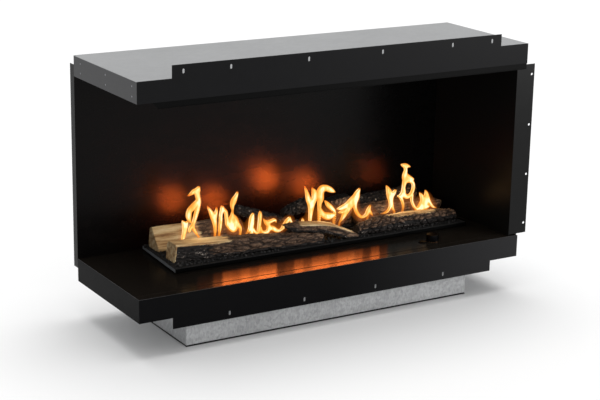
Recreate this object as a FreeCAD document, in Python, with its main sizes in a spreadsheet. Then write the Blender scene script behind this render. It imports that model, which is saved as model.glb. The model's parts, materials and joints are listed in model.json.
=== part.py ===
import FreeCAD, Part
import math
import os
import Sketcher

# Built-in corner fireplace, open at the front and at the left end.
# X runs to the right, Y to the back and Z up; the front faces -Y.
# The origin is the middle of the outer box, on the surface that the plinth stands on.

doc = FreeCAD.newDocument("fireplace")

# Driving dimensions, in millimetres
driving_sizes = [
    ("casing_length", 1200, "casing, left end to right side panel"),
    ("casing_depth", 383, "casing, front plane to the back of its folded flanges"),
    ("casing_height", 621, "casing, bottom pan to galvanised top"),
    ("lintel_height", 56, "face height of the top box"),
    ("apron_height", 63, "face height of the bottom box"),
    ("metal", 1.5, "sheet thickness of the casing"),
    ("seam", 0.3, "gap left where two pieces meet edge to edge"),
    ("cover_fold", 50, "depth of the cover's folded rim"),
    ("flange_notch", 95, "flange left out at each end of the front"),
    ("top_flange_rise", 33, "upper fixing flange above the casing"),
    ("low_flange_drop", 30, "lower fixing flange below the casing"),
    ("slot_width", 6, "fixing slots, across"),
    ("slot_height", 12, "fixing slots, end to end"),
    ("slot_pitch", 227, "fixing slots, middle to middle"),
    ("outer_slot_inset", 31.5, "outermost upper slots from the flange's ends"),
    ("top_slot_inset", 17, "upper slots below the flange's edge"),
    ("low_slot_inset", 16, "lower slots above the flange's edge"),
    ("strip_drop", 17, "heat strip below the lintel"),
    ("strip_setback", 2, "heat strip behind the lintel's face"),
    ("strip_start", 41, "heat strip from the left end"),
    ("strip_foot", 16, "heat strip's foot under the ceiling"),
    ("strip_lip", 1.2, "heat strip's forward lip"),
    ("wall_gap", 30, "right liner to right side panel, outside"),
    ("wing_reach", 31, "right fixing wing beyond the casing"),
    ("wing_edge_gap", 4, "right wing short of lintel and apron"),
    ("wing_hole", 7, "right wing's holes, diameter"),
    ("wing_hole_inset", 9, "right wing's holes from its edge"),
    ("wing_hole_end", 29.5, "right wing's end holes from its ends"),
    ("rear_wing_depth", 25, "rear wing behind the casing"),
    ("back_overlap_top", 31, "back panel over the top box"),
    ("back_overlap_low", 26, "back panel over the bottom box"),
    ("screw_head", 8, "back panel screws, head diameter"),
    ("screw_head_height", 1.6, "back panel screws, head height"),
    ("screw_shank", 3.6, "back panel screws, shank diameter"),
    ("screw_end", 25, "end screws from the ends of the panel"),
    ("screw_edge", 12, "screws from the edge of the panel they hold"),
    ("rivet", 4.4, "end cap rivets, diameter"),
    ("rivet_recess", 0.4, "end cap rivets below the face"),
    ("rivet_end", 28, "end cap rivets from the cap's front edge"),
    ("rivet_back", 42, "end cap rivets from the cap's back edge"),
    ("rivet_edge", 14.5, "end cap rivets from the cap's long edges"),
    ("plinth_inset", 152, "plinth box inside the casing's ends"),
    ("plinth_depth", 306, "plinth box, front to back"),
    ("plinth_height", 102, "plinth box, floor to bottom pan"),
    ("plinth_setback", 38, "plinth behind the front plane"),
    ("pan_ledge", 8, "bottom pan over the plinth's edge"),
    ("burner_width", 60, "burner trough, outside"),
    ("burner_flange", 14, "burner trough's flange on the floor"),
    ("burner_metal", 2, "burner trough, wall"),
    ("fibre_height", 24, "ceramic fibre block in the trough"),
    ("trough_screw_head", 7, "trough screws, head diameter"),
    ("trough_screw_rise", 1.4, "trough screws, head height"),
    ("trough_screw_end", 20, "end screws from the trough's ends"),
    ("tank_gap", 12, "gap round the tank and the control box"),
    ("tank_height", 79, "fuel tank"),
    ("filler_bore", 26, "filler neck, inside"),
    ("filler_wall", 1.5, "filler neck, wall"),
    ("filler_flange", 38, "filler neck's flange on the floor, diameter"),
    ("filler_from_right", 249, "filler neck from the right end"),
    ("filler_plate_edge", 32, "floor's filler plate, past the neck and the button"),
    ("floor_lap", 6, "floor's joint behind the tray's front edge"),
    ("filler_throat", 18, "filler neck, bore below the seat of the cap's plug"),
    ("cap_seat", 3, "filler neck, play under the cap's plug"),
    ("cap_height", 18, "filler cap above its flange"),
    ("cap_plug", 14, "filler cap's plug in the neck, length"),
    ("cap_chamfer", 0.8, "filler cap, top edge"),
    ("cap_wall", 2, "filler cap, wall of the turned cup"),
    ("plug_clearance", 0.05, "radial clearance of plug and button"),
    ("button_diameter", 18, "start button"),
    ("button_rise", 2.2, "start button above its ring"),
    ("button_length", 11, "start button, whole"),
    ("button_travel", 1.5, "start button's press"),
    ("ring_flange", 24, "button's ring on the floor, diameter"),
    ("ring_wall", 1.5, "button's sleeve, wall"),
    ("ring_depth", 20, "button's sleeve below the floor"),
    ("button_gap", 2.5, "between the button's ring and the filler's flange"),
    ("floor_flange", 1.2, "thickness of the flanges that lie on the floor"),
    ("control_length", 78, "control box"),
    ("control_depth", 220, "control box, front to back"),
    ("control_height", 56, "control box"),
    ("inlet_width", 27, "power inlet's body"),
    ("inlet_height", 19.5, "power inlet's body"),
    ("inlet_depth", 18, "power inlet's body behind its plate"),
    ("inlet_plate", 7, "power inlet's plate past its body"),
    ("inlet_pin", 4, "power inlet's pins, width"),
    ("inlet_pin_inset", 5, "power inlet's pins below the plinth's back"),
    ("inlet_from_end", 53, "power inlet's middle from the plinth's left end"),
    ("inlet_from_base", 40, "power inlet's middle above the plinth's underside"),
    ("tray_left", 173, "log tray from the casing's left end"),
    ("tray_front", 142, "log tray from the front plane"),
    ("tray_right_gap", 49, "log tray to the right liner"),
    ("tray_back_gap", 11, "log tray to the back panel"),
    ("tray_taper", 15, "log tray's back corners drawn in"),
    ("tray_metal", 2, "log tray, sheet"),
    ("tray_rim", 9, "log tray, height of its rim"),
    ("tray_foot", 4, "log tray's feet, height"),
    ("foot_diameter", 16, "log tray's feet"),
    ("foot_inset", 24, "log tray's feet from its edges"),
    ("flame_slot_inset", 5, "slot in the tray inside the trough's ends"),
    ("flame_slot_width", 40, "slot through tray and embers"),
    ("ember_depth", 8, "ember bed"),
    ("log_height", 60, "unit for the height of the logs"),
    ("log_seat", 0.3, "gap left under a log where it rests"),
]

sheet = doc.addObject("Spreadsheet::Sheet", "dims")
for row, (alias, value, note) in enumerate(driving_sizes, start=1):
    sheet.set(f"A{row}", alias)
    sheet.set(f"B{row}", str(value))
    sheet.setAlias(f"B{row}", alias)
    sheet.set(f"C{row}", note)
doc.recompute()

# Places are written from the casing's left end, front plane and underside.
left_end = "(-(dims.casing_length + dims.wing_reach) / 2)"
front_plane = "(-(dims.casing_depth + dims.rear_wing_depth) / 2)"
underside = "dims.plinth_height"
origin_of = {"X": left_end, "Y": front_plane, "Z": underside}

# Heights that several pieces share
lintel_base = "(dims.casing_height - dims.lintel_height)"
floor_top = "dims.apron_height"
plinth_base = "(-dims.plinth_height)"
tank_base = "(-dims.plinth_height + dims.metal)"
tank_top = "(-dims.plinth_height + dims.metal + dims.tank_height)"
tray_base = "(dims.apron_height + dims.tray_foot)"
bed_top = "(dims.apron_height + dims.tray_foot + dims.tray_metal + dims.ember_depth)"
back_face = "dims.casing_depth"
tray_right = "(dims.casing_length - dims.wall_gap - dims.tray_right_gap)"
tray_back = "(dims.casing_depth - dims.tray_back_gap)"
wall_face = "(dims.casing_length - dims.wall_gap)"
wing_front = "(dims.strip_setback + dims.metal + dims.seam)"
plinth_left = "dims.plinth_inset"
plinth_right = "(dims.casing_length - dims.plinth_inset)"
plinth_back = "(dims.plinth_setback + dims.plinth_depth)"
control_left = f"({plinth_left} + dims.metal + dims.tank_gap)"
control_right = f"({control_left} + dims.control_length)"
tank_left = f"({control_right} + dims.tank_gap)"
tank_right = f"({plinth_right} - dims.metal - dims.tank_gap)"
tank_front = "(dims.plinth_setback + dims.metal + dims.tank_gap)"
tank_back = f"({plinth_back} - dims.metal - dims.tank_gap)"

nodes = []


def number(expression):
    result = sheet.evalExpression(expression)
    return float(getattr(result, "Value", result))


def place(letter, expression):
    return f"{origin_of[letter]} + {expression}"


def node(label, thing):
    thing.Label = label
    nodes.append(thing)
    return thing


def block(name, across, deep, high):
    """Part::Box between two places along each axis."""
    thing = doc.addObject("Part::Box", name)
    for letter, length, (low, top) in zip("XYZ", ("Length", "Width", "Height"), (across, deep, high)):
        thing.setExpression(length, f"({top}) - ({low})")
        thing.setExpression(f"Placement.Base.{letter.lower()}", place(letter, low))
    return thing


def upright(name, across, deep, low, diameter, height):
    """Part::Cylinder standing at a place, from a height upwards."""
    thing = doc.addObject("Part::Cylinder", name)
    thing.setExpression("Radius", f"({diameter}) / 2")
    thing.setExpression("Height", height)
    thing.setExpression("Placement.Base.x", place("X", across))
    thing.setExpression("Placement.Base.y", place("Y", deep))
    thing.setExpression("Placement.Base.z", place("Z", low))
    return thing


def lying(name, along, across, deep, high, diameter, length):
    """Part::Cylinder with its axis along X or Y, towards the positive end."""
    thing = doc.addObject("Part::Cylinder", name)
    thing.setExpression("Radius", f"({diameter}) / 2")
    thing.setExpression("Height", length)
    towards = {"X": FreeCAD.Vector(1, 0, 0), "Y": FreeCAD.Vector(0, 1, 0)}[along]
    thing.Placement = FreeCAD.Placement(FreeCAD.Vector(), FreeCAD.Rotation(FreeCAD.Vector(0, 0, 1), towards))
    thing.setExpression("Placement.Base.x", place("X", across))
    thing.setExpression("Placement.Base.y", place("Y", deep))
    thing.setExpression("Placement.Base.z", place("Z", high))
    return thing


def joined(name, things):
    thing = doc.addObject("Part::MultiFuse", name)
    thing.Shapes = things
    thing.Refine = True
    return thing


def group(name, things):
    thing = doc.addObject("Part::Compound", name)
    thing.Links = things
    return thing


def without(name, base, tool):
    thing = doc.addObject("Part::Cut", name)
    thing.Base = base
    thing.Tool = tool
    thing.Refine = True
    return thing


axes_of_plane = {"XY": ("X", "Y", "Z"), "XZ": ("X", "Z", "Y"), "YZ": ("Y", "Z", "X")}


def new_sketch(body, plane, start):
    """Sketch on one of the body's origin planes, moved to a place along its normal."""
    sketch = body.newObject("Sketcher::SketchObject", f"{body.Name}_{plane}_sketch")
    origin_plane = next(f for f in body.Origin.OriginFeatures if f.Role == f"{plane}_Plane")
    sketch.AttachmentSupport = (origin_plane, [""])
    sketch.MapMode = "FlatFace"
    normal_letter = axes_of_plane[plane][2]
    sign = "-" if plane == "XZ" else ""
    sketch.setExpression("AttachmentOffset.Base.z", f"{sign}({place(normal_letter, start)})")
    return sketch


def pin_point(sketch, plane, geometry, point, across, high):
    first, second, normal = axes_of_plane[plane]
    for kind, letter, expression in (("DistanceX", first, across), ("DistanceY", second, high)):
        whole = place(letter, expression)
        index = sketch.addConstraint(Sketcher.Constraint(kind, -1, 1, geometry, point, number(whole)))
        sketch.setExpression(f"Constraints[{index}]", whole)


def point_at(plane, across, high):
    first, second, normal = axes_of_plane[plane]
    return FreeCAD.Vector(number(place(first, across)), number(place(second, high)), 0)


def draw_outline(sketch, plane, points):
    """Closed outline whose corners are held by two expressions each."""
    corners = [point_at(plane, *p) for p in points]
    first_line = sketch.GeometryCount
    count = len(corners)
    for i in range(count):
        sketch.addGeometry(Part.LineSegment(corners[i], corners[(i + 1) % count]))
    for i in range(count):
        here = first_line + i
        following = first_line + (i + 1) % count
        sketch.addConstraint(Sketcher.Constraint("Coincident", here, 2, following, 1))
        pin_point(sketch, plane, here, 1, *points[i])


def draw_circle(sketch, plane, across, high, diameter):
    middle = point_at(plane, across, high)
    radius = f"({diameter}) / 2"
    circle = sketch.addGeometry(Part.Circle(middle, FreeCAD.Vector(0, 0, 1), number(radius)))
    pin_point(sketch, plane, circle, 3, across, high)
    index = sketch.addConstraint(Sketcher.Constraint("Radius", circle, number(radius)))
    sketch.setExpression(f"Constraints[{index}]", radius)


def draw_slot(sketch, plane, across, high, width, height):
    """Upright slot with round ends."""
    offset = f"(({height}) - ({width})) / 2"
    radius = f"({width}) / 2"
    top = point_at(plane, across, f"{high} + {offset}")
    low = point_at(plane, across, f"{high} - {offset}")
    r = number(radius)
    up = FreeCAD.Vector(0, 0, 1)
    side = FreeCAD.Vector(r, 0, 0)
    head = sketch.addGeometry(Part.ArcOfCircle(Part.Circle(top, up, r), 0, math.pi))
    left = sketch.addGeometry(Part.LineSegment(top - side, low - side))
    foot = sketch.addGeometry(Part.ArcOfCircle(Part.Circle(low, up, r), math.pi, 2 * math.pi))
    right = sketch.addGeometry(Part.LineSegment(low + side, top + side))
    sides = (head, left, foot, right)
    for one, other in zip(sides, sides[1:] + sides[:1]):
        sketch.addConstraint(Sketcher.Constraint("Tangent", one, 2, other, 1))
    sketch.addConstraint(Sketcher.Constraint("Equal", head, foot))
    pin_point(sketch, plane, head, 3, across, f"{high} + {offset}")
    pin_point(sketch, plane, foot, 3, across, f"{high} - {offset}")
    index = sketch.addConstraint(Sketcher.Constraint("Radius", head, r))
    sketch.setExpression(f"Constraints[{index}]", radius)


def padded(body, plane, start, thickness, outlines):
    """Pad towards the positive side of the plane's normal axis."""
    sketch = new_sketch(body, plane, start)
    for outline in outlines:
        draw_outline(sketch, plane, outline)
    pad = body.newObject("PartDesign::Pad", f"{sketch.Name}_pad")
    pad.Profile = sketch
    pad.setExpression("Length", thickness)
    pad.Reversed = plane == "XZ"
    body.Tip = pad
    return pad


def pocketed(body, plane, start, depth, draw):
    """Pocket from a place towards the positive side of the plane's normal axis."""
    sketch = new_sketch(body, plane, start)
    draw(sketch)
    pocket = body.newObject("PartDesign::Pocket", f"{sketch.Name}_pocket")
    pocket.Profile = sketch
    pocket.setExpression("Length", depth)
    pocket.Reversed = plane != "XZ"
    before = body.Tip.Shape.Volume if body.Tip and not body.Tip.Shape.isNull() else 0
    body.Tip = pocket
    doc.recompute()
    if before and pocket.Shape.Volume >= before:
        raise RuntimeError(f"{body.Name}: the pocket cuts nothing")
    return pocket


def new_body(name):
    return doc.addObject("PartDesign::Body", name)


def rectangle(low, high):
    """Corners of a rectangle from its lowest and highest corner."""
    (x0, y0), (x1, y1) = low, high
    return [(x0, y0), (x1, y0), (x1, y1), (x0, y1)]


# Top box: galvanised cover with black facings
length = "dims.casing_length"
cover_rim_low = "(dims.casing_height - dims.cover_fold)"
cover_plate_low = "(dims.casing_height - dims.metal)"
cover_rim = (cover_rim_low, cover_plate_low)
cover_ends = ("dims.metal", f"{length} - dims.metal")
cover_deep = ("dims.metal", back_face)
cover_parts = [
    block("cover_plate", ("0", length), cover_deep, (cover_plate_low, "dims.casing_height")),
    block("cover_front", cover_ends, ("dims.metal", "2 * dims.metal"), cover_rim),
    block("cover_back", cover_ends, (f"{back_face} - dims.metal", back_face), cover_rim),
    block("cover_left", ("dims.metal", "2 * dims.metal"), cover_deep, cover_rim),
    block("cover_right", (f"{length} - 2 * dims.metal", f"{length} - dims.metal"), cover_deep, cover_rim),
]
node("top_cover", joined("top_cover", cover_parts))

lintel = new_body("front_lintel")
top = "dims.casing_height"
flange_top = "(dims.casing_height + dims.top_flange_rise)"
notch = "dims.flange_notch"
lintel_outline = [
    ("0", lintel_base),
    (length, lintel_base),
    (length, top),
    (f"{length} - {notch}", top),
    (f"{length} - {notch}", flange_top),
    (notch, flange_top),
    (notch, top),
    ("0", top),
]
padded(lintel, "XZ", "0", "dims.metal", [lintel_outline])
inner_slot_shares = (-1.5, -0.5, 0.5, 1.5)
inner_slots = [f"dims.casing_length / 2 + {share} * dims.slot_pitch" for share in inner_slot_shares]
outer_slots = [f"{notch} + dims.outer_slot_inset", f"{length} - {notch} - dims.outer_slot_inset"]


def top_slots(sketch):
    high = f"({flange_top} - dims.top_slot_inset)"
    for across in inner_slots + outer_slots:
        draw_slot(sketch, "XZ", across, high, "dims.slot_width", "dims.slot_height")


doc.recompute()
pocketed(lintel, "XZ", "0", "dims.metal", top_slots)
node("front_lintel", lintel)

cap = new_body("left_lintel")
cap_outline = rectangle(("dims.metal", lintel_base), (back_face, cover_plate_low))
padded(cap, "YZ", "0", "dims.metal", [cap_outline])
rivet_rows = [f"({lintel_base} + dims.rivet_edge)", f"({cover_plate_low} - dims.rivet_edge)"]
rivet_first = "(dims.metal + dims.rivet_end)"
rivet_last = f"({back_face} - dims.rivet_back)"
rivet_columns = [rivet_first, f"(({rivet_first} + {rivet_last}) / 2)", rivet_last]


def rivet_holes(sketch):
    for high in rivet_rows:
        for deep in rivet_columns:
            draw_circle(sketch, "YZ", deep, high, "dims.rivet + 2 * dims.seam")


doc.recompute()
pocketed(cap, "YZ", "0", "dims.metal", rivet_holes)
node("left_lintel", cap)

rivets = []
for high in rivet_rows:
    for deep in rivet_columns:
        name = f"rivet_{len(rivets) + 1}"
        rivet_length = "dims.metal - dims.rivet_recess"
        rivets.append(lying(name, "X", "dims.rivet_recess", deep, high, "dims.rivet", rivet_length))
node("lintel_rivets", group("lintel_rivets", rivets))

ceiling_across = ("dims.metal + dims.seam", f"{length} - dims.metal - dims.seam")
ceiling_deep = ("dims.metal + dims.seam", f"{back_face} - dims.seam")
ceiling_high = (lintel_base, f"{lintel_base} + dims.metal")
node("ceiling_panel", block("ceiling_panel", ceiling_across, ceiling_deep, ceiling_high))

strip = new_body("heat_strip")
strip_front = "dims.strip_setback"
strip_back = "(dims.strip_setback + dims.metal)"
strip_low = f"({lintel_base} - dims.strip_drop)"
strip_profile = [
    (f"{strip_front} - dims.strip_lip", strip_low),
    (strip_back, strip_low),
    (strip_back, f"{lintel_base} - dims.metal"),
    (f"{strip_back} + dims.strip_foot", f"{lintel_base} - dims.metal"),
    (f"{strip_back} + dims.strip_foot", lintel_base),
    (strip_front, lintel_base),
    (strip_front, f"{strip_low} + dims.metal"),
    (f"{strip_front} - dims.strip_lip", f"{strip_low} + dims.metal"),
]
padded(strip, "YZ", "dims.strip_start", f"{length} - dims.strip_start", [strip_profile])


def strip_mitre(sketch):
    corner = [
        ("dims.strip_start - dims.seam", strip_low + " - dims.seam"),
        ("dims.strip_start + dims.strip_drop + dims.seam", strip_low + " - dims.seam"),
        ("dims.strip_start - dims.seam", f"{lintel_base} + dims.seam"),
    ]
    draw_outline(sketch, "XZ", corner)


def strip_foot_end(sketch):
    near_corner = (f"{length} - dims.metal", strip_back)
    far_corner = (f"{length} + dims.seam", f"{strip_back} + dims.strip_foot + dims.seam")
    draw_outline(sketch, "XY", rectangle(near_corner, far_corner))


doc.recompute()
pocketed(strip, "XZ", "0", f"{strip_back} + dims.strip_foot + dims.seam", strip_mitre)
pocketed(strip, "XY", f"{lintel_base} - dims.metal", "dims.metal", strip_foot_end)
node("heat_strip", strip)

# Right side: liner with its fixing wing, and the galvanised side panel
liner = new_body("right_liner")
wall_high = (floor_top, f"({lintel_base} - dims.metal - dims.seam)")
wing_low = f"({floor_top} + dims.wing_edge_gap)"
wing_high = f"({lintel_base} - dims.wing_edge_gap)"
wing_end = "(dims.casing_length + dims.wing_reach)"
wing_back = f"({wing_front} + dims.metal)"
wall_plan = rectangle((wall_face, wing_front), (f"{wall_face} + dims.metal", f"{back_face} - dims.seam"))
wing_plan = rectangle((wall_face, wing_front), (wing_end, wing_back))
padded(liner, "XY", wall_high[0], f"{wall_high[1]} - {wall_high[0]}", [wall_plan])
padded(liner, "XY", wing_low, f"{wing_high} - {wing_low}", [wing_plan])
wing_hole_shares = ("0", "1 / 3", "2 / 3", "1")
wing_hole_run = f"({wing_high} - {wing_low} - 2 * dims.wing_hole_end)"
wing_hole_first = f"({wing_low} + dims.wing_hole_end)"
wing_hole_heights = [f"({wing_hole_first} + {share} * {wing_hole_run})" for share in wing_hole_shares]


def wing_holes(sketch):
    for high in wing_hole_heights:
        draw_circle(sketch, "XZ", f"{wing_end} - dims.wing_hole_inset", high, "dims.wing_hole")


doc.recompute()
pocketed(liner, "XZ", wing_front, "dims.metal", wing_holes)
node("right_liner", liner)

side_deep = (f"{wing_back} + dims.seam", back_face)
side_panel = block("right_side_panel", (f"{length} - dims.metal", length), side_deep, ("0", cover_plate_low))
node("right_side_panel", side_panel)

# Back panel with the rear wing, screwed over the back of both boxes
back = new_body("back_panel")
back_low = f"({floor_top} - dims.back_overlap_low)"
back_high = f"({lintel_base} + dims.back_overlap_top)"
back_outer = f"({back_face} + dims.metal)"
back_plan = [
    ("0", back_face),
    (length, back_face),
    (length, back_outer),
    ("dims.metal", back_outer),
    ("dims.metal", f"{back_face} + dims.rear_wing_depth"),
    ("0", f"{back_face} + dims.rear_wing_depth"),
]
padded(back, "XY", back_low, f"{back_high} - {back_low}", [back_plan])
screw_shares = (0, 0.2, 0.4, 0.6, 0.8, 1)
screw_columns = [f"(dims.screw_end + {share} * ({length} - 2 * dims.screw_end))" for share in screw_shares]
screw_rows = [f"({back_low} + dims.screw_edge)", f"({back_high} - dims.screw_edge)"]


def back_holes(sketch):
    for high in screw_rows:
        for across in screw_columns:
            draw_circle(sketch, "XZ", across, high, "dims.screw_shank + 2 * dims.seam")


doc.recompute()
pocketed(back, "XZ", back_face, "dims.metal", back_holes)
node("back_panel", back)

back_screws = []
for high in screw_rows:
    for across in screw_columns:
        number_of_screw = len(back_screws) + 1
        head_name = f"back_screw_head_{number_of_screw}"
        shank_name = f"back_screw_shank_{number_of_screw}"
        head = lying(head_name, "Y", across, back_outer, high, "dims.screw_head", "dims.screw_head_height")
        shank = lying(shank_name, "Y", across, back_face, high, "dims.screw_shank", "dims.metal")
        back_screws.append(joined(f"back_screw_{number_of_screw}", [head, shank]))
node("back_screws", group("back_screws", back_screws))

# Bottom box: black aprons round a galvanised pan, and the floor on top
floor_low = f"({floor_top} - dims.metal)"
burner_left = tank_left
burner_right = tank_right
burner_near = f"((dims.tray_front + {tray_back} - dims.burner_width) / 2)"
burner_far = f"((dims.tray_front + {tray_back} + dims.burner_width) / 2)"
neck_place = (f"({length} - dims.filler_from_right)", "(dims.tray_front / 2)")
button_from_neck = "(dims.filler_flange / 2 + dims.button_gap + dims.ring_flange / 2)"
button_place = (f"({neck_place[0]} - {button_from_neck})", neck_place[1])

# The floor's back sheet and front strip meet under the tray's front edge.
# A small plate in the strip carries the filler and the button.
floor_first = "dims.metal + dims.seam"
floor_last = f"{length} - dims.metal - dims.seam"
floor_joint = "(dims.tray_front + dims.floor_lap)"
plate_first = f"({button_place[0]} - dims.filler_plate_edge)"
plate_last = f"({neck_place[0]} + dims.filler_plate_edge)"
floor = new_body("floor_panel")
padded(floor, "XY", floor_low, "dims.metal", [
    rectangle((floor_first, floor_joint), (floor_last, f"{back_face} - dims.seam")),
])
floor_left = new_body("floor_front_left")
padded(floor_left, "XY", floor_low, "dims.metal", [
    rectangle((floor_first, floor_first), (plate_first, floor_joint)),
])
node("floor_front_left", floor_left)
floor_right = new_body("floor_front_right")
padded(floor_right, "XY", floor_low, "dims.metal", [
    rectangle((plate_last, floor_first), (floor_last, floor_joint)),
])
node("floor_front_right", floor_right)
filler_plate = new_body("filler_plate")
padded(filler_plate, "XY", floor_low, "dims.metal", [
    rectangle((plate_first, floor_first), (plate_last, floor_joint)),
])


def burner_opening(sketch):
    near_corner = (f"{burner_left} - dims.seam", f"{burner_near} - dims.seam")
    far_corner = (f"{burner_right} + dims.seam", f"{burner_far} + dims.seam")
    draw_outline(sketch, "XY", rectangle(near_corner, far_corner))


def plate_openings(sketch):
    neck = "dims.filler_bore + 2 * dims.filler_wall + 2 * dims.seam"
    sleeve = "dims.button_diameter + 2 * dims.plug_clearance + 2 * dims.ring_wall + 2 * dims.seam"
    draw_circle(sketch, "XY", *neck_place, neck)
    draw_circle(sketch, "XY", *button_place, sleeve)


doc.recompute()
pocketed(floor, "XY", floor_low, "dims.metal", burner_opening)
node("floor_panel", floor)
pocketed(filler_plate, "XY", floor_low, "dims.metal", plate_openings)
node("filler_plate", filler_plate)

apron = new_body("front_apron")
flange_low = "(-dims.low_flange_drop)"
apron_outline = [
    ("0", "0"),
    (notch, "0"),
    (notch, flange_low),
    (f"{length} - {notch}", flange_low),
    (f"{length} - {notch}", "0"),
    (length, "0"),
    (length, floor_top),
    ("0", floor_top),
]
padded(apron, "XZ", "0", "dims.metal", [apron_outline])


def low_slots(sketch):
    high = f"({flange_low} + dims.low_slot_inset)"
    for across in inner_slots:
        draw_slot(sketch, "XZ", across, high, "dims.slot_width", "dims.slot_height")


doc.recompute()
pocketed(apron, "XZ", "0", "dims.metal", low_slots)
node("front_apron", apron)

node("left_apron", block("left_apron", ("0", "dims.metal"), ("dims.metal", back_face), ("0", floor_top)))

pan = new_body("bottom_pan")
pan_across = ("dims.metal", f"{length} - dims.metal")
pan_deep = ("dims.metal", back_face)
pan_outer = rectangle((pan_across[0], pan_deep[0]), (pan_across[1], pan_deep[1]))
pan_inner_far = (f"{length} - 2 * dims.metal", f"{back_face} - dims.metal")
pan_inner = rectangle(("2 * dims.metal", "2 * dims.metal"), pan_inner_far)
padded(pan, "XY", "0", floor_low, [pan_outer])
doc.recompute()
pan_depth = f"{floor_low} - dims.metal"
pocketed(pan, "XY", "dims.metal", pan_depth, lambda sketch: draw_outline(sketch, "XY", pan_inner))


def pan_opening(sketch):
    near_corner = (f"{plinth_left} + dims.pan_ledge", "dims.plinth_setback + dims.pan_ledge")
    far_corner = (f"{plinth_right} - dims.pan_ledge", f"{plinth_back} - dims.pan_ledge")
    draw_outline(sketch, "XY", rectangle(near_corner, far_corner))


pocketed(pan, "XY", "0", "dims.metal", pan_opening)
node("bottom_pan", pan)

# Plinth: a folded galvanised channel closed by two end plates
plinth_inside = f"({plinth_base} + dims.metal)"
channel = new_body("plinth_channel")
channel_profile = [
    ("dims.plinth_setback", "0"),
    ("dims.plinth_setback", plinth_base),
    (plinth_back, plinth_base),
    (plinth_back, "0"),
    (f"{plinth_back} - dims.metal", "0"),
    (f"{plinth_back} - dims.metal", plinth_inside),
    ("dims.plinth_setback + dims.metal", plinth_inside),
    ("dims.plinth_setback + dims.metal", "0"),
]
padded(channel, "YZ", plinth_left, f"{plinth_right} - {plinth_left}", [channel_profile])
inlet_middle = f"({plinth_base} + dims.inlet_from_base)"
inlet_across = f"({plinth_left} + dims.inlet_from_end)"
inlet_sides = (f"({inlet_across} - dims.inlet_width / 2)", f"({inlet_across} + dims.inlet_width / 2)")
inlet_ends = (f"({inlet_middle} - dims.inlet_height / 2)", f"({inlet_middle} + dims.inlet_height / 2)")


def inlet_opening(sketch):
    low_corner = (f"{inlet_sides[0]} - dims.seam", f"{inlet_ends[0]} - dims.seam")
    high_corner = (f"{inlet_sides[1]} + dims.seam", f"{inlet_ends[1]} + dims.seam")
    draw_outline(sketch, "XZ", rectangle(low_corner, high_corner))


doc.recompute()
pocketed(channel, "XZ", f"{plinth_back} - 2 * dims.metal", "3 * dims.metal", inlet_opening)
node("plinth_channel", channel)

end_deep = ("dims.plinth_setback + dims.metal + dims.seam", f"{plinth_back} - dims.metal - dims.seam")
end_high = (plinth_inside, "0")
left_plate = block("plinth_left_end", (plinth_left, f"{plinth_left} + dims.metal"), end_deep, end_high)
right_plate = block("plinth_right_end", (f"{plinth_right} - dims.metal", plinth_right), end_deep, end_high)
node("plinth_left_end", left_plate)
node("plinth_right_end", right_plate)

# Burner: trough hung from the floor, fibre block, tank, filler and controls
trough = new_body("burner_trough")
trough_outline = rectangle((burner_left, burner_near), (burner_right, burner_far))
flange_outline = rectangle(
    (f"{burner_left} - dims.burner_flange", f"{burner_near} - dims.burner_flange"),
    (f"{burner_right} + dims.burner_flange", f"{burner_far} + dims.burner_flange"),
)
trough_inner = rectangle(
    (f"{burner_left} + dims.burner_metal", f"{burner_near} + dims.burner_metal"),
    (f"{burner_right} - dims.burner_metal", f"{burner_far} - dims.burner_metal"),
)
flange_level = f"({floor_top} + dims.floor_flange)"
padded(trough, "XY", tank_top, f"{flange_level} - {tank_top}", [trough_outline])
padded(trough, "XY", floor_top, "dims.floor_flange", [flange_outline])
doc.recompute()
trough_inside = f"({tank_top} + dims.burner_metal)"
trough_depth = f"{flange_level} - {trough_inside}"
pocketed(trough, "XY", trough_inside, trough_depth, lambda sketch: draw_outline(sketch, "XY", trough_inner))
node("burner_trough", trough)

fibre_gap = "(dims.burner_metal + dims.seam)"
fibre_across = (f"{burner_left} + {fibre_gap}", f"{burner_right} - {fibre_gap}")
fibre_deep = (f"{burner_near} + {fibre_gap}", f"{burner_far} - {fibre_gap}")
fibre_high = (trough_inside, f"{trough_inside} + dims.fibre_height")
node("burner_fibre", block("burner_fibre", fibre_across, fibre_deep, fibre_high))

trough_screws = []
trough_screw_shares = (0, 0.25, 0.5, 0.75, 1)
trough_screw_run = f"({burner_right} - {burner_left} - 2 * dims.trough_screw_end)"
screw_lines = [f"({burner_near} - dims.burner_flange / 2)", f"({burner_far} + dims.burner_flange / 2)"]
for deep in screw_lines:
    for share in trough_screw_shares:
        name = f"trough_screw_{len(trough_screws) + 1}"
        across = f"({burner_left} + dims.trough_screw_end + {share} * {trough_screw_run})"
        screw_size = ("dims.trough_screw_head", "dims.trough_screw_rise")
        trough_screws.append(upright(name, across, deep, flange_level, *screw_size))
node("trough_screws", group("trough_screws", trough_screws))

tank_shell = block("tank_shell", (tank_left, tank_right), (tank_front, tank_back), (tank_base, tank_top))
tank_across = (f"{tank_left} + dims.metal", f"{tank_right} - dims.metal")
tank_deep = (f"{tank_front} + dims.metal", f"{tank_back} - dims.metal")
tank_high = (f"{tank_base} + dims.metal", f"{tank_top} - dims.metal")
tank_space = block("tank_space", tank_across, tank_deep, tank_high)
neck_outer = "(dims.filler_bore + 2 * dims.filler_wall)"
mouth_low = f"{tank_top} - 2 * dims.metal"
tank_mouth = upright("tank_mouth", *neck_place, mouth_low, "dims.filler_throat", "3 * dims.metal")
node("fuel_tank", without("fuel_tank", tank_shell, joined("tank_hollow", [tank_space, tank_mouth])))

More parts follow.
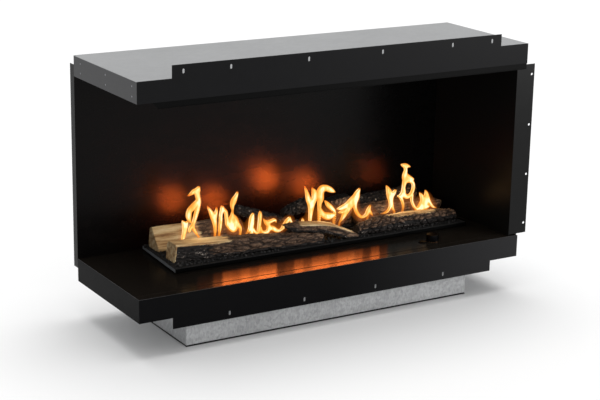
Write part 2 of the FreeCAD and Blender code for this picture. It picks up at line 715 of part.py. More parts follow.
neck_tube = upright("neck_tube", *neck_place, tank_top, neck_outer, f"{flange_level} - {tank_top}")
neck_flange = upright("neck_flange", *neck_place, floor_top, "dims.filler_flange", "dims.floor_flange")
throat_length = f"{flange_level} - {tank_top} + 2 * dims.metal"
neck_throat = upright("neck_throat", *neck_place, mouth_low, "dims.filler_throat", throat_length)
seat_level = f"({flange_level} - dims.cap_plug - dims.cap_seat)"
seat_depth = "dims.cap_plug + 2 * dims.cap_seat"
neck_seat = upright("neck_seat", *neck_place, seat_level, "dims.filler_bore", seat_depth)
neck_hollow = joined("neck_hollow", [neck_throat, neck_seat])
node("filler_neck", without("filler_neck", joined("neck_outside", [neck_tube, neck_flange]), neck_hollow))

cap_diameter = "(dims.filler_flange - 2 * dims.cap_chamfer)"
plug_diameter = "(dims.filler_bore - 2 * dims.plug_clearance)"
cap_disc = upright("cap_disc", *neck_place, flange_level, cap_diameter, "dims.cap_height - dims.cap_chamfer")
cap_edge = doc.addObject("Part::Cone", "cap_edge")
cap_edge.setExpression("Radius1", f"{cap_diameter} / 2")
cap_edge.setExpression("Radius2", f"{cap_diameter} / 2 - dims.cap_chamfer")
cap_edge.setExpression("Height", "dims.cap_chamfer")
cap_edge.setExpression("Placement.Base.x", place("X", neck_place[0]))
cap_edge.setExpression("Placement.Base.y", place("Y", neck_place[1]))
cap_edge.setExpression("Placement.Base.z", place("Z", f"{flange_level} + dims.cap_height - dims.cap_chamfer"))
cap_plug = upright("cap_plug", *neck_place, f"{flange_level} - dims.cap_plug", plug_diameter, "dims.cap_plug")
cup_low = f"{flange_level} - dims.cap_plug - dims.cap_wall"
cup_height = "dims.cap_plug + dims.cap_height - dims.cap_wall"
cap_cup = upright("cap_cup", *neck_place, cup_low, f"{plug_diameter} - 2 * dims.cap_wall", cup_height)
node("filler_cap", without("filler_cap", joined("cap_outside", [cap_disc, cap_edge, cap_plug]), cap_cup))

sleeve_bore = "(dims.button_diameter + 2 * dims.plug_clearance)"
sleeve_outer = f"({sleeve_bore} + 2 * dims.ring_wall)"
sleeve_low = f"({floor_top} - dims.ring_depth)"
sleeve = upright("ring_sleeve", *button_place, sleeve_low, sleeve_outer, f"{flange_level} - {sleeve_low}")
ring = upright("ring_flange", *button_place, floor_top, "dims.ring_flange", "dims.floor_flange")
ring_inside = f"{sleeve_low} + dims.ring_wall"
ring_bore = upright("ring_bore", *button_place, ring_inside, sleeve_bore, "dims.ring_depth + dims.ring_wall")
node("button_ring", without("button_ring", joined("ring_outside", [sleeve, ring]), ring_bore))
button_low = f"({flange_level} + dims.button_rise - dims.button_length)"
button_size = ("dims.button_diameter", "dims.button_length")
node("start_button", upright("start_button", *button_place, button_low, *button_size))

control_across = (control_left, control_right)
control_deep = (tank_front, f"{tank_front} + dims.control_depth")
control_high = (tank_base, f"{tank_base} + dims.control_height")
node("control_box", block("control_box", control_across, control_deep, control_high))

inlet_deep = (f"{plinth_back} - dims.inlet_depth", f"{plinth_back} + dims.metal")
inlet_body = block("inlet_body", inlet_sides, inlet_deep, inlet_ends)
plate_sides = (f"{inlet_sides[0]} - dims.inlet_plate", f"{inlet_sides[1]} + dims.inlet_plate")
plate_ends = (f"{inlet_ends[0]} - dims.inlet_plate / 2", f"{inlet_ends[1]} + dims.inlet_plate / 2")
inlet_face = block("inlet_face", plate_sides, (plinth_back, f"{plinth_back} + dims.metal"), plate_ends)
socket_sides = (f"{inlet_sides[0]} + dims.metal", f"{inlet_sides[1]} - dims.metal")
socket_ends = (f"{inlet_ends[0]} + dims.metal", f"{inlet_ends[1]} - dims.metal")
socket_deep = (f"{plinth_back} - dims.inlet_depth + dims.metal", f"{plinth_back} + 2 * dims.metal")
inlet_socket = block("inlet_socket", socket_sides, socket_deep, socket_ends)
pin_deep = (f"{plinth_back} - dims.inlet_depth + dims.metal / 2", f"{plinth_back} - dims.inlet_pin_inset")
pin_shares = (-1, 0, 1)
inlet_pins = []
for share in pin_shares:
    middle = f"({inlet_across} + {share} * dims.inlet_width / 4)"
    pin_across = (f"{middle} - dims.metal / 2", f"{middle} + dims.metal / 2")
    pin_middle = f"{inlet_middle} + (1 - abs({share})) * dims.inlet_height / 8"
    pin_high = (f"{pin_middle} - dims.inlet_pin / 2", f"{pin_middle} + dims.inlet_pin / 2")
    inlet_pins.append(block(f"inlet_pin_{len(inlet_pins) + 1}", pin_across, pin_deep, pin_high))
inlet_shell = without("inlet_shell", joined("inlet_outside", [inlet_body, inlet_face]), inlet_socket)
node("power_inlet", joined("power_inlet", [inlet_shell] + inlet_pins))

# Log tray with its feet and the ember bed
def tray_plan(inset):
    """Tray outline drawn in all round: the back is shorter than the front."""
    return [
        (f"dims.tray_left + {inset}", f"dims.tray_front + {inset}"),
        (f"{tray_right} - {inset}", f"dims.tray_front + {inset}"),
        (f"{tray_right} - dims.tray_taper - {inset}", f"{tray_back} - {inset}"),
        (f"dims.tray_left + dims.tray_taper + {inset}", f"{tray_back} - {inset}"),
    ]


slot_near = f"((dims.tray_front + {tray_back} - dims.flame_slot_width) / 2)"
slot_far = f"((dims.tray_front + {tray_back} + dims.flame_slot_width) / 2)"
slot_left = f"{burner_left} + dims.flame_slot_inset"
slot_right = f"{burner_right} - dims.flame_slot_inset"
flame_slot = rectangle((slot_left, slot_near), (slot_right, slot_far))
tray = new_body("log_tray")
padded(tray, "XY", tray_base, "dims.tray_rim", [tray_plan("0")])
doc.recompute()
tray_inner = tray_plan("dims.tray_metal")
tray_inside = f"({tray_base} + dims.tray_metal)"
rim_depth = "dims.tray_rim - dims.tray_metal"
pocketed(tray, "XY", tray_inside, rim_depth, lambda sketch: draw_outline(sketch, "XY", tray_inner))
pocketed(tray, "XY", tray_base, "dims.tray_metal", lambda sketch: draw_outline(sketch, "XY", flame_slot))
node("log_tray", tray)

feet = []
foot_first = "(dims.tray_left + dims.tray_taper + dims.foot_inset)"
foot_last = f"({tray_right} - dims.tray_taper - dims.foot_inset)"
foot_columns = [foot_first, f"(({foot_first} + {foot_last}) / 2)", foot_last]
foot_lines = ["(dims.tray_front + dims.foot_inset)", f"({tray_back} - dims.foot_inset)"]
for deep in foot_lines:
    for across in foot_columns:
        name = f"tray_foot_{len(feet) + 1}"
        feet.append(upright(name, across, deep, floor_top, "dims.foot_diameter", "dims.tray_foot"))
node("tray_feet", group("tray_feet", feet))

bed = new_body("ember_bed")
padded(bed, "XY", tray_inside, "dims.ember_depth", [tray_plan("(dims.tray_metal + dims.seam)")])
doc.recompute()
pocketed(bed, "XY", tray_inside, "dims.ember_depth", lambda sketch: draw_outline(sketch, "XY", flame_slot))
node("ember_bed", bed)
doc.recompute()

# Ceramic logs. An outline is given in shares of a log's width and height,
# from front (-0.5) to back (0.5) and from underside (-0.5) to top (0.5).
split_outline_shares = [
    (-0.50, -0.50),
    (0.40, -0.50),
    (0.50, -0.30),
    (0.50, 0.18),
    (0.44, 0.40),
    (0.30, 0.50),
    (0.05, 0.20),
    (-0.25, -0.08),
    (-0.50, -0.34),
]
flat_outline_shares = [
    (-0.44, -0.50),
    (0.44, -0.50),
    (0.50, -0.34),
    (0.50, 0.32),
    (0.40, 0.50),
    (-0.40, 0.50),
    (-0.50, 0.36),
    (-0.50, -0.32),
]
round_outline_shares = [
    (-0.22, -0.50),
    (0.22, -0.50),
    (0.42, -0.34),
    (0.50, -0.06),
    (0.44, 0.26),
    (0.26, 0.46),
    (-0.04, 0.50),
    (-0.32, 0.42),
    (-0.48, 0.16),
    (-0.46, -0.20),
]

# Each station: place along and across the tray in shares of the tray,
# height of the middle over the embers, width in shares of the tray's depth,
# height in shares of log_height, and the slant of the outline along the log.
log_table_shares = {
    "log_back_left": (split_outline_shares, [
        (0.026, 0.770, 0.51, 0.269, 1.02, -0.06),
        (0.130, 0.775, 0.50, 0.274, 1.00, 0.00),
        (0.240, 0.780, 0.48, 0.256, 0.96, 0.00),
        (0.318, 0.785, 0.45, 0.235, 0.90, 0.05),
    ]),
    "log_front_left": (flat_outline_shares, [
        (0.024, 0.300, 0.42, 0.235, 0.84, -0.10),
        (0.130, 0.275, 0.39, 0.252, 0.78, 0.00),
        (0.270, 0.222, 0.34, 0.240, 0.68, 0.00),
        (0.400, 0.165, 0.28, 0.210, 0.56, 0.00),
        (0.492, 0.128, 0.22, 0.172, 0.44, 0.05),
    ]),
    "log_front_right": (round_outline_shares, [
        (0.620, 0.140, 0.27, 0.136, 0.54, -0.10),
        (0.690, 0.155, 0.35, 0.244, 0.70, 0.00),
        (0.790, 0.176, 0.36, 0.286, 0.72, 0.00),
        (0.900, 0.190, 0.31, 0.246, 0.62, 0.00),
        (0.985, 0.205, 0.24, 0.162, 0.48, 0.08),
    ]),
    "log_back_middle": (flat_outline_shares, [
        (0.596, 0.700, 0.62, 0.209, 1.24, -0.12),
        (0.640, 0.705, 0.66, 0.219, 1.32, 0.00),
        (0.676, 0.700, 0.67, 0.203, 1.34, 0.06),
    ]),
    "log_middle_right": (flat_outline_shares, [
        (0.684, 0.610, 0.41, 0.198, 0.82, -0.05),
        (0.800, 0.590, 0.42, 0.214, 0.84, 0.00),
        (0.900, 0.555, 0.39, 0.203, 0.78, 0.00),
        (0.975, 0.520, 0.34, 0.183, 0.68, -0.22),
    ]),
    "log_back_right": (round_outline_shares, [
        (0.686, 0.860, 0.50, 0.200, 1.00, -0.08),
        (0.780, 0.865, 0.53, 0.224, 1.06, 0.00),
        (0.860, 0.865, 0.56, 0.224, 1.12, 0.00),
        (0.915, 0.860, 0.61, 0.209, 1.22, 0.00),
        (0.945, 0.855, 0.66, 0.180, 1.32, 0.10),
    ]),
    "log_cross_left": (round_outline_shares, [
        (0.284, 0.740, 1.60, 0.130, 0.46, -0.10),
        (0.360, 0.725, 1.20, 0.136, 0.48, 0.00),
        (0.440, 0.705, 0.78, 0.130, 0.46, 0.00),
        (0.512, 0.685, 0.40, 0.115, 0.40, 0.10),
    ]),
    "log_cross_middle": (round_outline_shares, [
        (0.434, 0.640, 1.26, 0.120, 0.40, -0.10),
        (0.484, 0.670, 1.36, 0.188, 0.62, 0.00),
        (0.524, 0.700, 1.42, 0.209, 0.70, 0.12),
    ]),
    "log_front_middle": (flat_outline_shares, [
        (0.392, 0.262, 0.88, 0.110, 0.22, 0.20),
        (0.415, 0.245, 0.86, 0.165, 0.36, 0.00),
        (0.470, 0.205, 0.80, 0.188, 0.42, 0.00),
        (0.502, 0.178, 0.77, 0.184, 0.42, 0.00),
        (0.540, 0.148, 0.59, 0.176, 0.50, 0.00),
        (0.575, 0.115, 0.37, 0.150, 0.46, 0.00),
        (0.612, 0.084, 0.20, 0.100, 0.18, 0.00),
    ]),
}
logs_on_embers = (
    "log_back_left",
    "log_front_left",
    "log_front_right",
    "log_back_middle",
    "log_middle_right",
    "log_back_right",
)

tray_length = number(f"{tray_right} - dims.tray_left")
tray_depth = number(f"{tray_back} - dims.tray_front")
log_height = number("dims.log_height")
log_seat = number("dims.log_seat")
tray_corner = FreeCAD.Vector(
    number(place("X", "dims.tray_left")),
    number(place("Y", "dims.tray_front")),
    number(place("Z", bed_top)),
)


def log_solid(outline_shares, stations):
    """Solid through one outline at each station."""
    wires = []
    for along, across, lift, width, height, slant in stations:
        middle = tray_corner + FreeCAD.Vector(along * tray_length, across * tray_depth, lift * log_height)
        points = []
        for u, v in outline_shares:
            offset = FreeCAD.Vector(-slant * v * log_height, u * width * tray_depth, v * height * log_height)
            points.append(middle + offset)
        wires.append(Part.makePolygon(points + points[:1]))
    return Part.makeLoft(wires, True, True)


def laid_down(shape, supports):
    """Lower a log until it is one seat's gap from what is under it."""
    gap = min(shape.distToShape(support)[0] for support in supports)
    while gap > log_seat * 1.5:
        shape.translate(FreeCAD.Vector(0, 0, log_seat - gap))
        gap = min(shape.distToShape(support)[0] for support in supports)
    return shape


supports = [bed.Shape]
for label, (outline_shares, stations) in log_table_shares.items():
    shape = log_solid(outline_shares, stations)
    if label in logs_on_embers:
        drop = shape.BoundBox.ZMin - tray_corner.z - log_seat
        shape.translate(FreeCAD.Vector(0, 0, -drop))
    else:
        shape = laid_down(shape, supports)
    supports.append(shape)
    log = doc.addObject("Part::Feature", label)
    log.Shape = shape
    node(label, log)

doc.recompute()

for thing in doc.Objects:
    if "Invalid" in thing.State or "Error" in thing.State:
        raise RuntimeError(f"{thing.Name} is in state {thing.State}")
for thing in nodes:
    if thing.Shape.isNull() or not thing.Shape.isValid():
        raise RuntimeError(f"{thing.Label} has no valid shape")

os.makedirs("parts", exist_ok=True)
for thing in nodes:
    thing.Shape.exportStep(os.path.join("parts", f"{thing.Label}.step"))
print(f"{len(nodes)} nodes written")
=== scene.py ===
import json
import math
import random

import bpy
import numpy as np
from mathutils import Matrix, Vector, noise
from mathutils.bvhtree import BVHTree


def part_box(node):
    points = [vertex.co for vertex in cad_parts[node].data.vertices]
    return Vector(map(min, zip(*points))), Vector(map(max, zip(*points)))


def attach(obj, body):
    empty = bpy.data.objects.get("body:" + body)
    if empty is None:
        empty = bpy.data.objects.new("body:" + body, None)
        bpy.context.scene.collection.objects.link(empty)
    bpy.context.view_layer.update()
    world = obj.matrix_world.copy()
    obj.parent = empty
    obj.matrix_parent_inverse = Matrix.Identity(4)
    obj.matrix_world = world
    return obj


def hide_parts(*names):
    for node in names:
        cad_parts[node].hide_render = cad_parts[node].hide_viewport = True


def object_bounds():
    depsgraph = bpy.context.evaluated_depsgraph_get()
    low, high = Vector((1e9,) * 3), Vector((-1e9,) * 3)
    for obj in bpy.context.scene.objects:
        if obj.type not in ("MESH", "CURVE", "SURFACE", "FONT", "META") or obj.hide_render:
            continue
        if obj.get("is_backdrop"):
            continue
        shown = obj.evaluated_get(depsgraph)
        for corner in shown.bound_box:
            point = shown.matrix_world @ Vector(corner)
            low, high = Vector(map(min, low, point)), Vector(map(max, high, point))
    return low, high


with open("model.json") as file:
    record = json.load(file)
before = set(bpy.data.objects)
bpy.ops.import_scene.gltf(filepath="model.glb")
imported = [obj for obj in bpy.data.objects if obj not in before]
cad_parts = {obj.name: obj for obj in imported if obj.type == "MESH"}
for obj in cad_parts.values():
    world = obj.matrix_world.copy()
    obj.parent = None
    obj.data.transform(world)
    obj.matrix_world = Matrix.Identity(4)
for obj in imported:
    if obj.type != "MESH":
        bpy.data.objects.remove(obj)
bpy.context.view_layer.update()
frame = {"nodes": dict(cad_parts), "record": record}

nodes = frame["nodes"]
print("frame loaded:", len(nodes), "nodes")


def tone(red, green, blue, alpha=1.0):
    # a colour as it is picked on screen, 0 to 255, as the shader wants it
    linear = []
    for channel in (red, green, blue):
        share = channel / 255
        linear.append(share / 12.92 if share <= 0.04045 else ((share + 0.055) / 1.055) ** 2.4)
    return (*linear, alpha)


def smooth(value, low, high):
    # 0 below low, 1 above high, for arrays
    share = np.clip((value - low) / (high - low), 0, 1)
    return share * share * (3 - 2 * share)


class Wire:
    # a socket in a node tree; sums and products of wires add Math nodes
    def __init__(self, tree, socket=None):
        self.tree = tree
        self.socket = socket

    def feed(self, target, value):
        if isinstance(value, Wire):
            self.tree.links.new(value.socket, target)
        else:
            target.default_value = value

    def node(self, kind, settings=None, sockets=None, output=0):
        made = self.tree.nodes.new(kind)
        for name, value in (settings or {}).items():
            if name == "stops":
                ramp = made.color_ramp
                while len(ramp.elements) < len(value):
                    ramp.elements.new(0.5)
                for element, (place, colour) in zip(ramp.elements, value):
                    element.position = place
                    element.color = colour
            else:
                setattr(made, name, value)
        for name, value in (sockets or {}).items():
            self.feed(made.inputs[name], value)
        return Wire(self.tree, made.outputs[output] if made.outputs else None)

    def maths(self, operation, first, second=None, clamp=False):
        sockets = {0: first} if second is None else {0: first, 1: second}
        return self.node("ShaderNodeMath", {"operation": operation, "use_clamp": clamp}, sockets)

    def __add__(self, other):
        return self.maths("ADD", self, other)

    def __radd__(self, other):
        return self.maths("ADD", other, self)

    def __sub__(self, other):
        return self.maths("SUBTRACT", self, other)

    def __rsub__(self, other):
        return self.maths("SUBTRACT", other, self)

    def __mul__(self, other):
        return self.maths("MULTIPLY", self, other)

    def __rmul__(self, other):
        return self.maths("MULTIPLY", other, self)

    def __pow__(self, other):
        return self.maths("POWER", self, other)

    def held(self):
        # kept between 0 and 1
        return self.maths("ADD", self, 0.0, True)

    def blend(self, low, high):
        # this wire as the factor between two colours
        return self.node("ShaderNodeMix", {"data_type": "RGBA"}, {0: self, 6: low, 7: high}, 2)

    def between(self, low, high):
        # 0 below low, 1 above high
        return self.node("ShaderNodeMapRange", {"interpolation_type": "SMOOTHSTEP"}, {
            "Value": self, "From Min": low, "From Max": high})

    def coords(self, scale=(1, 1, 1)):
        place = self.node("ShaderNodeTexCoord", output="Object")
        return self.node("ShaderNodeMapping", None, {"Vector": place, "Scale": scale})

    def axis(self, name):
        return self.node("ShaderNodeSeparateXYZ", None, {"Vector": self.coords()}, name)

    def attribute(self, name, output="Fac"):
        return self.node("ShaderNodeAttribute", {"attribute_name": name}, None, output)

    def ramp(self, stops, amount):
        return self.node("ShaderNodeValToRGB", {"stops": stops}, {"Fac": amount})

    def grain(self, scale, stretch=(1, 1, 1), detail=3.0, roughness=0.55, place=None):
        spot = place or self.coords(stretch)
        return self.node("ShaderNodeTexNoise", None, {
            "Vector": spot, "Scale": scale, "Detail": detail, "Roughness": roughness})

    def bump(self, height, strength, distance):
        return self.node("ShaderNodeBump", None, {
            "Height": height, "Strength": strength, "Distance": distance})

    def surface(self, sockets):
        shader = self.node("ShaderNodeBsdfPrincipled", None, sockets)
        self.node("ShaderNodeOutputMaterial", None, {"Surface": shader})


def newFinish(name):
    material = bpy.data.materials.new(name)
    material.use_nodes = True
    material.node_tree.nodes.clear()
    return material, Wire(material.node_tree)


galvanisedLook = {
    # tones in the zinc, spangles per metre, the run of its streaks and a painted shadow line along the foot
    "galvanised_plate": {"dark": (145, 146, 147), "light": (177, 178, 179), "cells": 75.0,
                         "stretch": (14, 260, 14), "rough": 0.42},
    "galvanised_plinth": {"dark": (130, 131, 132), "light": (208, 209, 210), "cells": 150.0,
                          "stretch": (420, 420, 80), "rough": 0.5, "foot": (0.0036, 0.0054, (16, 16, 17))},
    "galvanised_wall": {"dark": (118, 120, 122), "light": (160, 162, 164), "cells": 75.0,
                        "stretch": (200, 200, 10), "rough": 0.45},
}
galvanisedMix = {
    "spangle": 0.3, "streak": 0.75, "cloud": 0.35, "base": -0.22, "cloudScale": 5.0, "metallic": 0.85,
    "roughSpangle": 0.08, "roughStreak": 0.12, "raised": 0.4, "bump": 0.12, "depth": 0.0004,
}


def makeGalvanised(name):
    look, mix = galvanisedLook[name], galvanisedMix
    material, wire = newFinish(name)
    cell = wire.node("ShaderNodeTexVoronoi", None, {
        "Vector": wire.coords(), "Scale": look["cells"], "Randomness": 1.0}, "Color")
    spangle = wire.node("ShaderNodeSeparateColor", None, {"Color": cell}, "Red")
    streak = wire.grain(1.0, look["stretch"], detail=4.0, roughness=0.6)
    cloud = wire.grain(mix["cloudScale"], detail=2.0)
    shade = (spangle * mix["spangle"] + streak * mix["streak"] + cloud * mix["cloud"] + mix["base"]).held()
    colour = shade.blend(tone(*look["dark"]), tone(*look["light"]))
    # painted shadow: the lowest few millimetres of the plinth are darkened where it meets the floor
    if "foot" in look:
        low, high, dark = look["foot"]
        colour = wire.axis("Z").between(low, high).blend(tone(*dark), colour)
    wire.surface({
        "Base Color": colour,
        "Metallic": mix["metallic"],
        "Roughness": look["rough"] + spangle * mix["roughSpangle"] + streak * mix["roughStreak"],
        "Normal": wire.bump(streak + spangle * mix["raised"], mix["bump"], mix["depth"]),
    })
    return material


steelLook = {
    # tone of the coat, its gloss, the run of its brush marks and how deep they look;
    # paintedSheen: where along x the coat turns greyer, painted light that is brighter on the right; crease: a
    # fine folded line along x;
    # a coat without its own stretch and marks takes those of steelMix
    "lintel_coat": {"tone": (16, 16, 17), "gloss": 0.06, "rough": 0.42},
    # the black coat made lighter for the top box's left end: painted light falling on that side
    "end_coat": {"tone": (56, 56, 57), "gloss": 0.12, "rough": 0.45},
    "apron_coat": {"tone": (5, 5, 6), "gloss": 0.045, "rough": 0.40,
                   "paintedSheen": (-0.10, 0.66, (40, 40, 41))},
    "left_coat": {"tone": (7, 7, 7), "gloss": 0.028, "rough": 0.42},
    "strip_coat": {"tone": (5, 5, 5), "gloss": 0.04, "rough": 0.40},
    "black_wall": {"tone": (4, 4, 4), "gloss": 0.07, "rough": 0.27, "stretch": (9, 9, 30), "marks": 0.004},
    "side_wall": {"tone": (9, 9, 9), "gloss": 0.12, "rough": 0.32, "stretch": (9, 9, 120), "marks": 0.04},
    "black_floor": {"tone": (21, 18, 15), "gloss": 0.012, "rough": 0.16, "stretch": (7, 420, 7), "marks": 0.28,
                    "crease": (-0.176, 0.0012, 0.0028)},
    "black_tray": {"tone": (3, 3, 3), "gloss": 0.05, "rough": 0.34, "stretch": (12, 300, 12), "marks": 0.10},
    "tray_side": {"tone": (84, 86, 88), "gloss": 0.3, "rough": 0.42, "stretch": (60, 12, 60), "marks": 0.06},
    "bare_edge": {"tone": (70, 70, 72), "gloss": 0.5, "rough": 0.4, "stretch": (120, 120, 120), "marks": 0.05},
}
steelMix = {"stretch": (40, 40, 40), "marks": 0.05, "lift": 1.25, "add": 2, "dustScale": 26.0,
            "dustFrom": (0.5, 0.8), "roughMarks": 0.12, "roughDust": 0.06, "roughCrease": 0.6, "depth": 0.0006}


def makeBlackSteel(name):
    look, mix = {**steelMix, **steelLook[name]}, steelMix
    material, wire = newFinish(name)
    marks = wire.grain(1.0, look["stretch"], detail=4.0, roughness=0.6)
    dust = wire.grain(mix["dustScale"], detail=5.0, roughness=0.65)
    lighter = [channel * mix["lift"] + mix["add"] for channel in look["tone"]]
    colour = (dust * 0.5 + marks * 0.5).blend(tone(*look["tone"]), tone(*lighter))
    # painted sheen: the coat lightens towards the right end, where more light falls on it
    if "paintedSheen" in look:
        start, end, grey = look["paintedSheen"]
        colour = wire.axis("X").between(start, end).blend(colour, tone(*grey))
    dusty = dust.between(*mix["dustFrom"])
    rough = look["rough"] + (marks - 0.5) * mix["roughMarks"] + dusty * mix["roughDust"]
    if "crease" in look:
        place, narrow, wide = look["crease"]
        away = wire.maths("ABSOLUTE", wire.axis("Y") - place)
        rough = rough + (1 - away.between(narrow, wide)) * mix["roughCrease"]
    wire.surface({
        "Base Color": colour,
        "Roughness": rough,
        "Specular IOR Level": look["gloss"],
        "Normal": wire.bump(marks, look["marks"], mix["depth"]),
    })
    return material


metalLook = {
    # tones, roughness and the run of the brush marks
    "bright_screw": ((120, 122, 126), (176, 178, 182), 0.32, (300, 300, 300)),
    "stainless_sheet": ((138, 138, 140), (176, 176, 178), 0.34, (10, 10, 260)),
    "polished_cap": ((16, 16, 17), (34, 34, 35), 0.24, (60, 60, 500)),
    # the flange's warm tones are a painted reflection of the fire's orange gleam
    "neck_flange": ((96, 64, 38), (132, 92, 56), 0.22, (300, 300, 300)),
}
metalMix = {"roughBrush": 0.1, "bump": 0.06, "depth": 0.0003}


def makeMetal(name):
    dark, light, rough, stretch = metalLook[name]
    material, wire = newFinish(name)
    brush = wire.grain(1.0, stretch, detail=3.0, roughness=0.6)
    wire.surface({
        "Base Color": brush.blend(tone(*dark), tone(*light)),
        "Metallic": 1.0,
        "Roughness": rough + brush * metalMix["roughBrush"],
        "Normal": wire.bump(brush, metalMix["bump"], metalMix["depth"]),
    })
    return material


plainLook = {
    # tones, specks per metre, roughness and bump
    "fibre_block": ((176, 168, 152), (222, 216, 202), 320.0, 0.95, 0.6),
    "foot_rubber": ((18, 18, 18), (32, 32, 33), 240.0, 0.8, 0.2),
    "moulded_black": ((20, 20, 21), (30, 30, 31), 700.0, 0.5, 0.12),
}
plainMix = {"speckFrom": (0.3, 0.7), "roughSpeck": 0.1, "gloss": 0.35, "depth": 0.0005}


def makePlain(name):
    dark, light, scale, rough, bump = plainLook[name]
    material, wire = newFinish(name)
    speck = wire.grain(scale, detail=4.0, roughness=0.6)
    wire.surface({
        "Base Color": speck.between(*plainMix["speckFrom"]).blend(tone(*dark), tone(*light)),
        "Roughness": rough - speck * plainMix["roughSpeck"],
        "Specular IOR Level": plainMix["gloss"],
        "Normal": wire.bump(speck, bump, plainMix["depth"]),
    })
    return material


emberLook = {"patch": 150.0, "speck": 900.0, "patchFrom": (0.35, 0.75), "patchShare": 0.75, "speckShare": 0.25,
             "stops": [(0.0, (6, 6, 6)), (0.45, (17, 15, 14)), (0.8, (38, 34, 31)), (1.0, (72, 66, 60))],
             "rough": 0.78, "roughSpeck": 0.2, "gloss": 0.4, "bumpSpeck": 0.5, "bump": 0.5, "depth": 0.0008}


def toneStops(stops):
    return [(place, tone(*colour)) for place, colour in stops]


def makeEmber():
    look = emberLook
    material, wire = newFinish("ember_stone")
    patch = wire.grain(look["patch"], detail=3.0, roughness=0.6)
    speck = wire.grain(look["speck"], detail=2.0, roughness=0.5)
    shade = (patch.between(*look["patchFrom"]) * look["patchShare"] + speck * look["speckShare"]).held()
    wire.surface({
        "Base Color": wire.ramp(toneStops(look["stops"]), shade),
        "Roughness": look["rough"] - speck * look["roughSpeck"],
        "Specular IOR Level": look["gloss"],
        "Normal": wire.bump(patch + speck * look["bumpSpeck"], look["bump"], look["depth"]),
    })
    return material


logLook = {
    "wood": [(0.0, (96, 62, 38)), (0.28, (158, 118, 76)), (0.62, (204, 170, 122)), (1.0, (232, 208, 164))],
    "bark": [(0.0, (26, 19, 15)), (0.35, (78, 58, 44)), (0.7, (136, 108, 86)), (1.0, (186, 162, 136))],
    "char": [(0.0, (9, 8, 8)), (0.35, (40, 34, 31)), (0.7, (92, 82, 76)), (1.0, (176, 166, 156))],
}
logStrands = {
    # stretch along and across the log, detail and roughness of each noise
    "lines": ((16, 330, 330), 5.0, 0.62),
    "bands": ((7, 78, 78), 2.0, 0.5),
    "blotch": ((45, 110, 110), 4.0, 0.6),
    "speck": ((420, 620, 620), 3.0, 0.6),
}
logMix = {
    "wood": {"lines": 0.45, "bands": 2.0, "blotch": 0.3, "relief": 0.2, "base": 0.12},
    "bark": {"relief": 0.75, "lines": 0.45, "speck": 0.6, "base": -0.28},
    "char": {"blotch": 0.3, "relief": 0.30, "base": -0.13},
    "ashRelief": (0.55, 1.0), "ashSpeck": (0.42, 0.66), "ragged": 1.6, "woodRagged": 0.6,
    "barkFrom": (0.3, 0.7), "woodFrom": (0.35, 0.65),
    "soot": (8, 7, 7), "rough": 0.86, "roughSpeck": 0.14, "gloss": 0.3,
    "bumpLines": 0.7, "bumpSpeck": 0.5, "bumpBlotch": 0.3, "bump": 0.55, "depth": 0.0012,
}


def makeLog():
    material, wire = newFinish("ceramic_log")
    along = wire.attribute("grain", "Vector")

    def strand(stretch, detail, roughness):
        place = wire.node("ShaderNodeMapping", None, {"Vector": along, "Scale": stretch})
        return wire.grain(1.0, detail=detail, roughness=roughness, place=place)

    lines, bands, blotch, speck = [strand(*settings) for settings in logStrands.values()]
    relief, pale, brown, soot = [wire.attribute(name) for name in ("relief", "pale", "brown", "soot")]
    mix = logMix["wood"]
    shade = lines * mix["lines"] + (bands - 0.5) * mix["bands"]
    shade = shade + blotch * mix["blotch"] + relief * mix["relief"]
    wood = wire.ramp(toneStops(logLook["wood"]), (shade + mix["base"]).held())
    mix = logMix["bark"]
    shade = relief * mix["relief"] + lines * mix["lines"] + (speck - 0.5) * mix["speck"]
    bark = wire.ramp(toneStops(logLook["bark"]), (shade + mix["base"]).held())
    mix = logMix["char"]
    # pale ash on the high ridges, partly a painted highlight
    ashAndHighlight = relief.between(*logMix["ashRelief"]) * speck.between(*logMix["ashSpeck"])
    shade = ashAndHighlight + blotch * mix["blotch"] + relief * mix["relief"]
    char = wire.ramp(toneStops(logLook["char"]), (shade + mix["base"]).held())
    mix = logMix
    ragged = (blotch - 0.5) * mix["ragged"]
    body = (brown + ragged).between(*mix["barkFrom"]).blend(char, bark)
    body = (pale + ragged * mix["woodRagged"]).between(*mix["woodFrom"]).blend(body, wood)
    height = lines * mix["bumpLines"] + speck * mix["bumpSpeck"] + blotch * mix["bumpBlotch"]
    wire.surface({
        "Base Color": soot.blend(body, tone(*mix["soot"])),
        "Roughness": mix["rough"] - speck * mix["roughSpeck"],
        "Specular IOR Level": mix["gloss"],
        "Normal": wire.bump(height, mix["bump"], mix["depth"]),
    })
    return material


flameLook = {
    "lick": (120, 120, 34), "heat": (30, 30, 17), "heatFrom": (0.36, 0.62), "strength": 2.6,
    # how warm a place is: its core, the heat noise in it, the height and the licks
    "corePower": 1.5, "coreWarm": 0.55, "heatWarm": 0.48, "riseWarm": 0.06, "lickWarm": 1.1, "lickMiddle": 0.52,
    # how dense it is
    "bodyFrom": (0.04, 0.5), "body": 0.56, "bodyRise": 0.38, "gapFrom": (0.45, 0.85), "gap": 0.45,
    "haze": 0.30, "hazeLick": 0.4,
    "stops": [(0.0, (0.34, 0.075, 0.007, 1)), (0.2, (0.42, 0.13, 0.014, 1)), (0.42, (0.48, 0.19, 0.028, 1)),
              (0.68, (0.53, 0.28, 0.070, 1)), (0.88, (0.56, 0.36, 0.14, 1)), (1.0, (0.60, 0.44, 0.27, 1))],
}


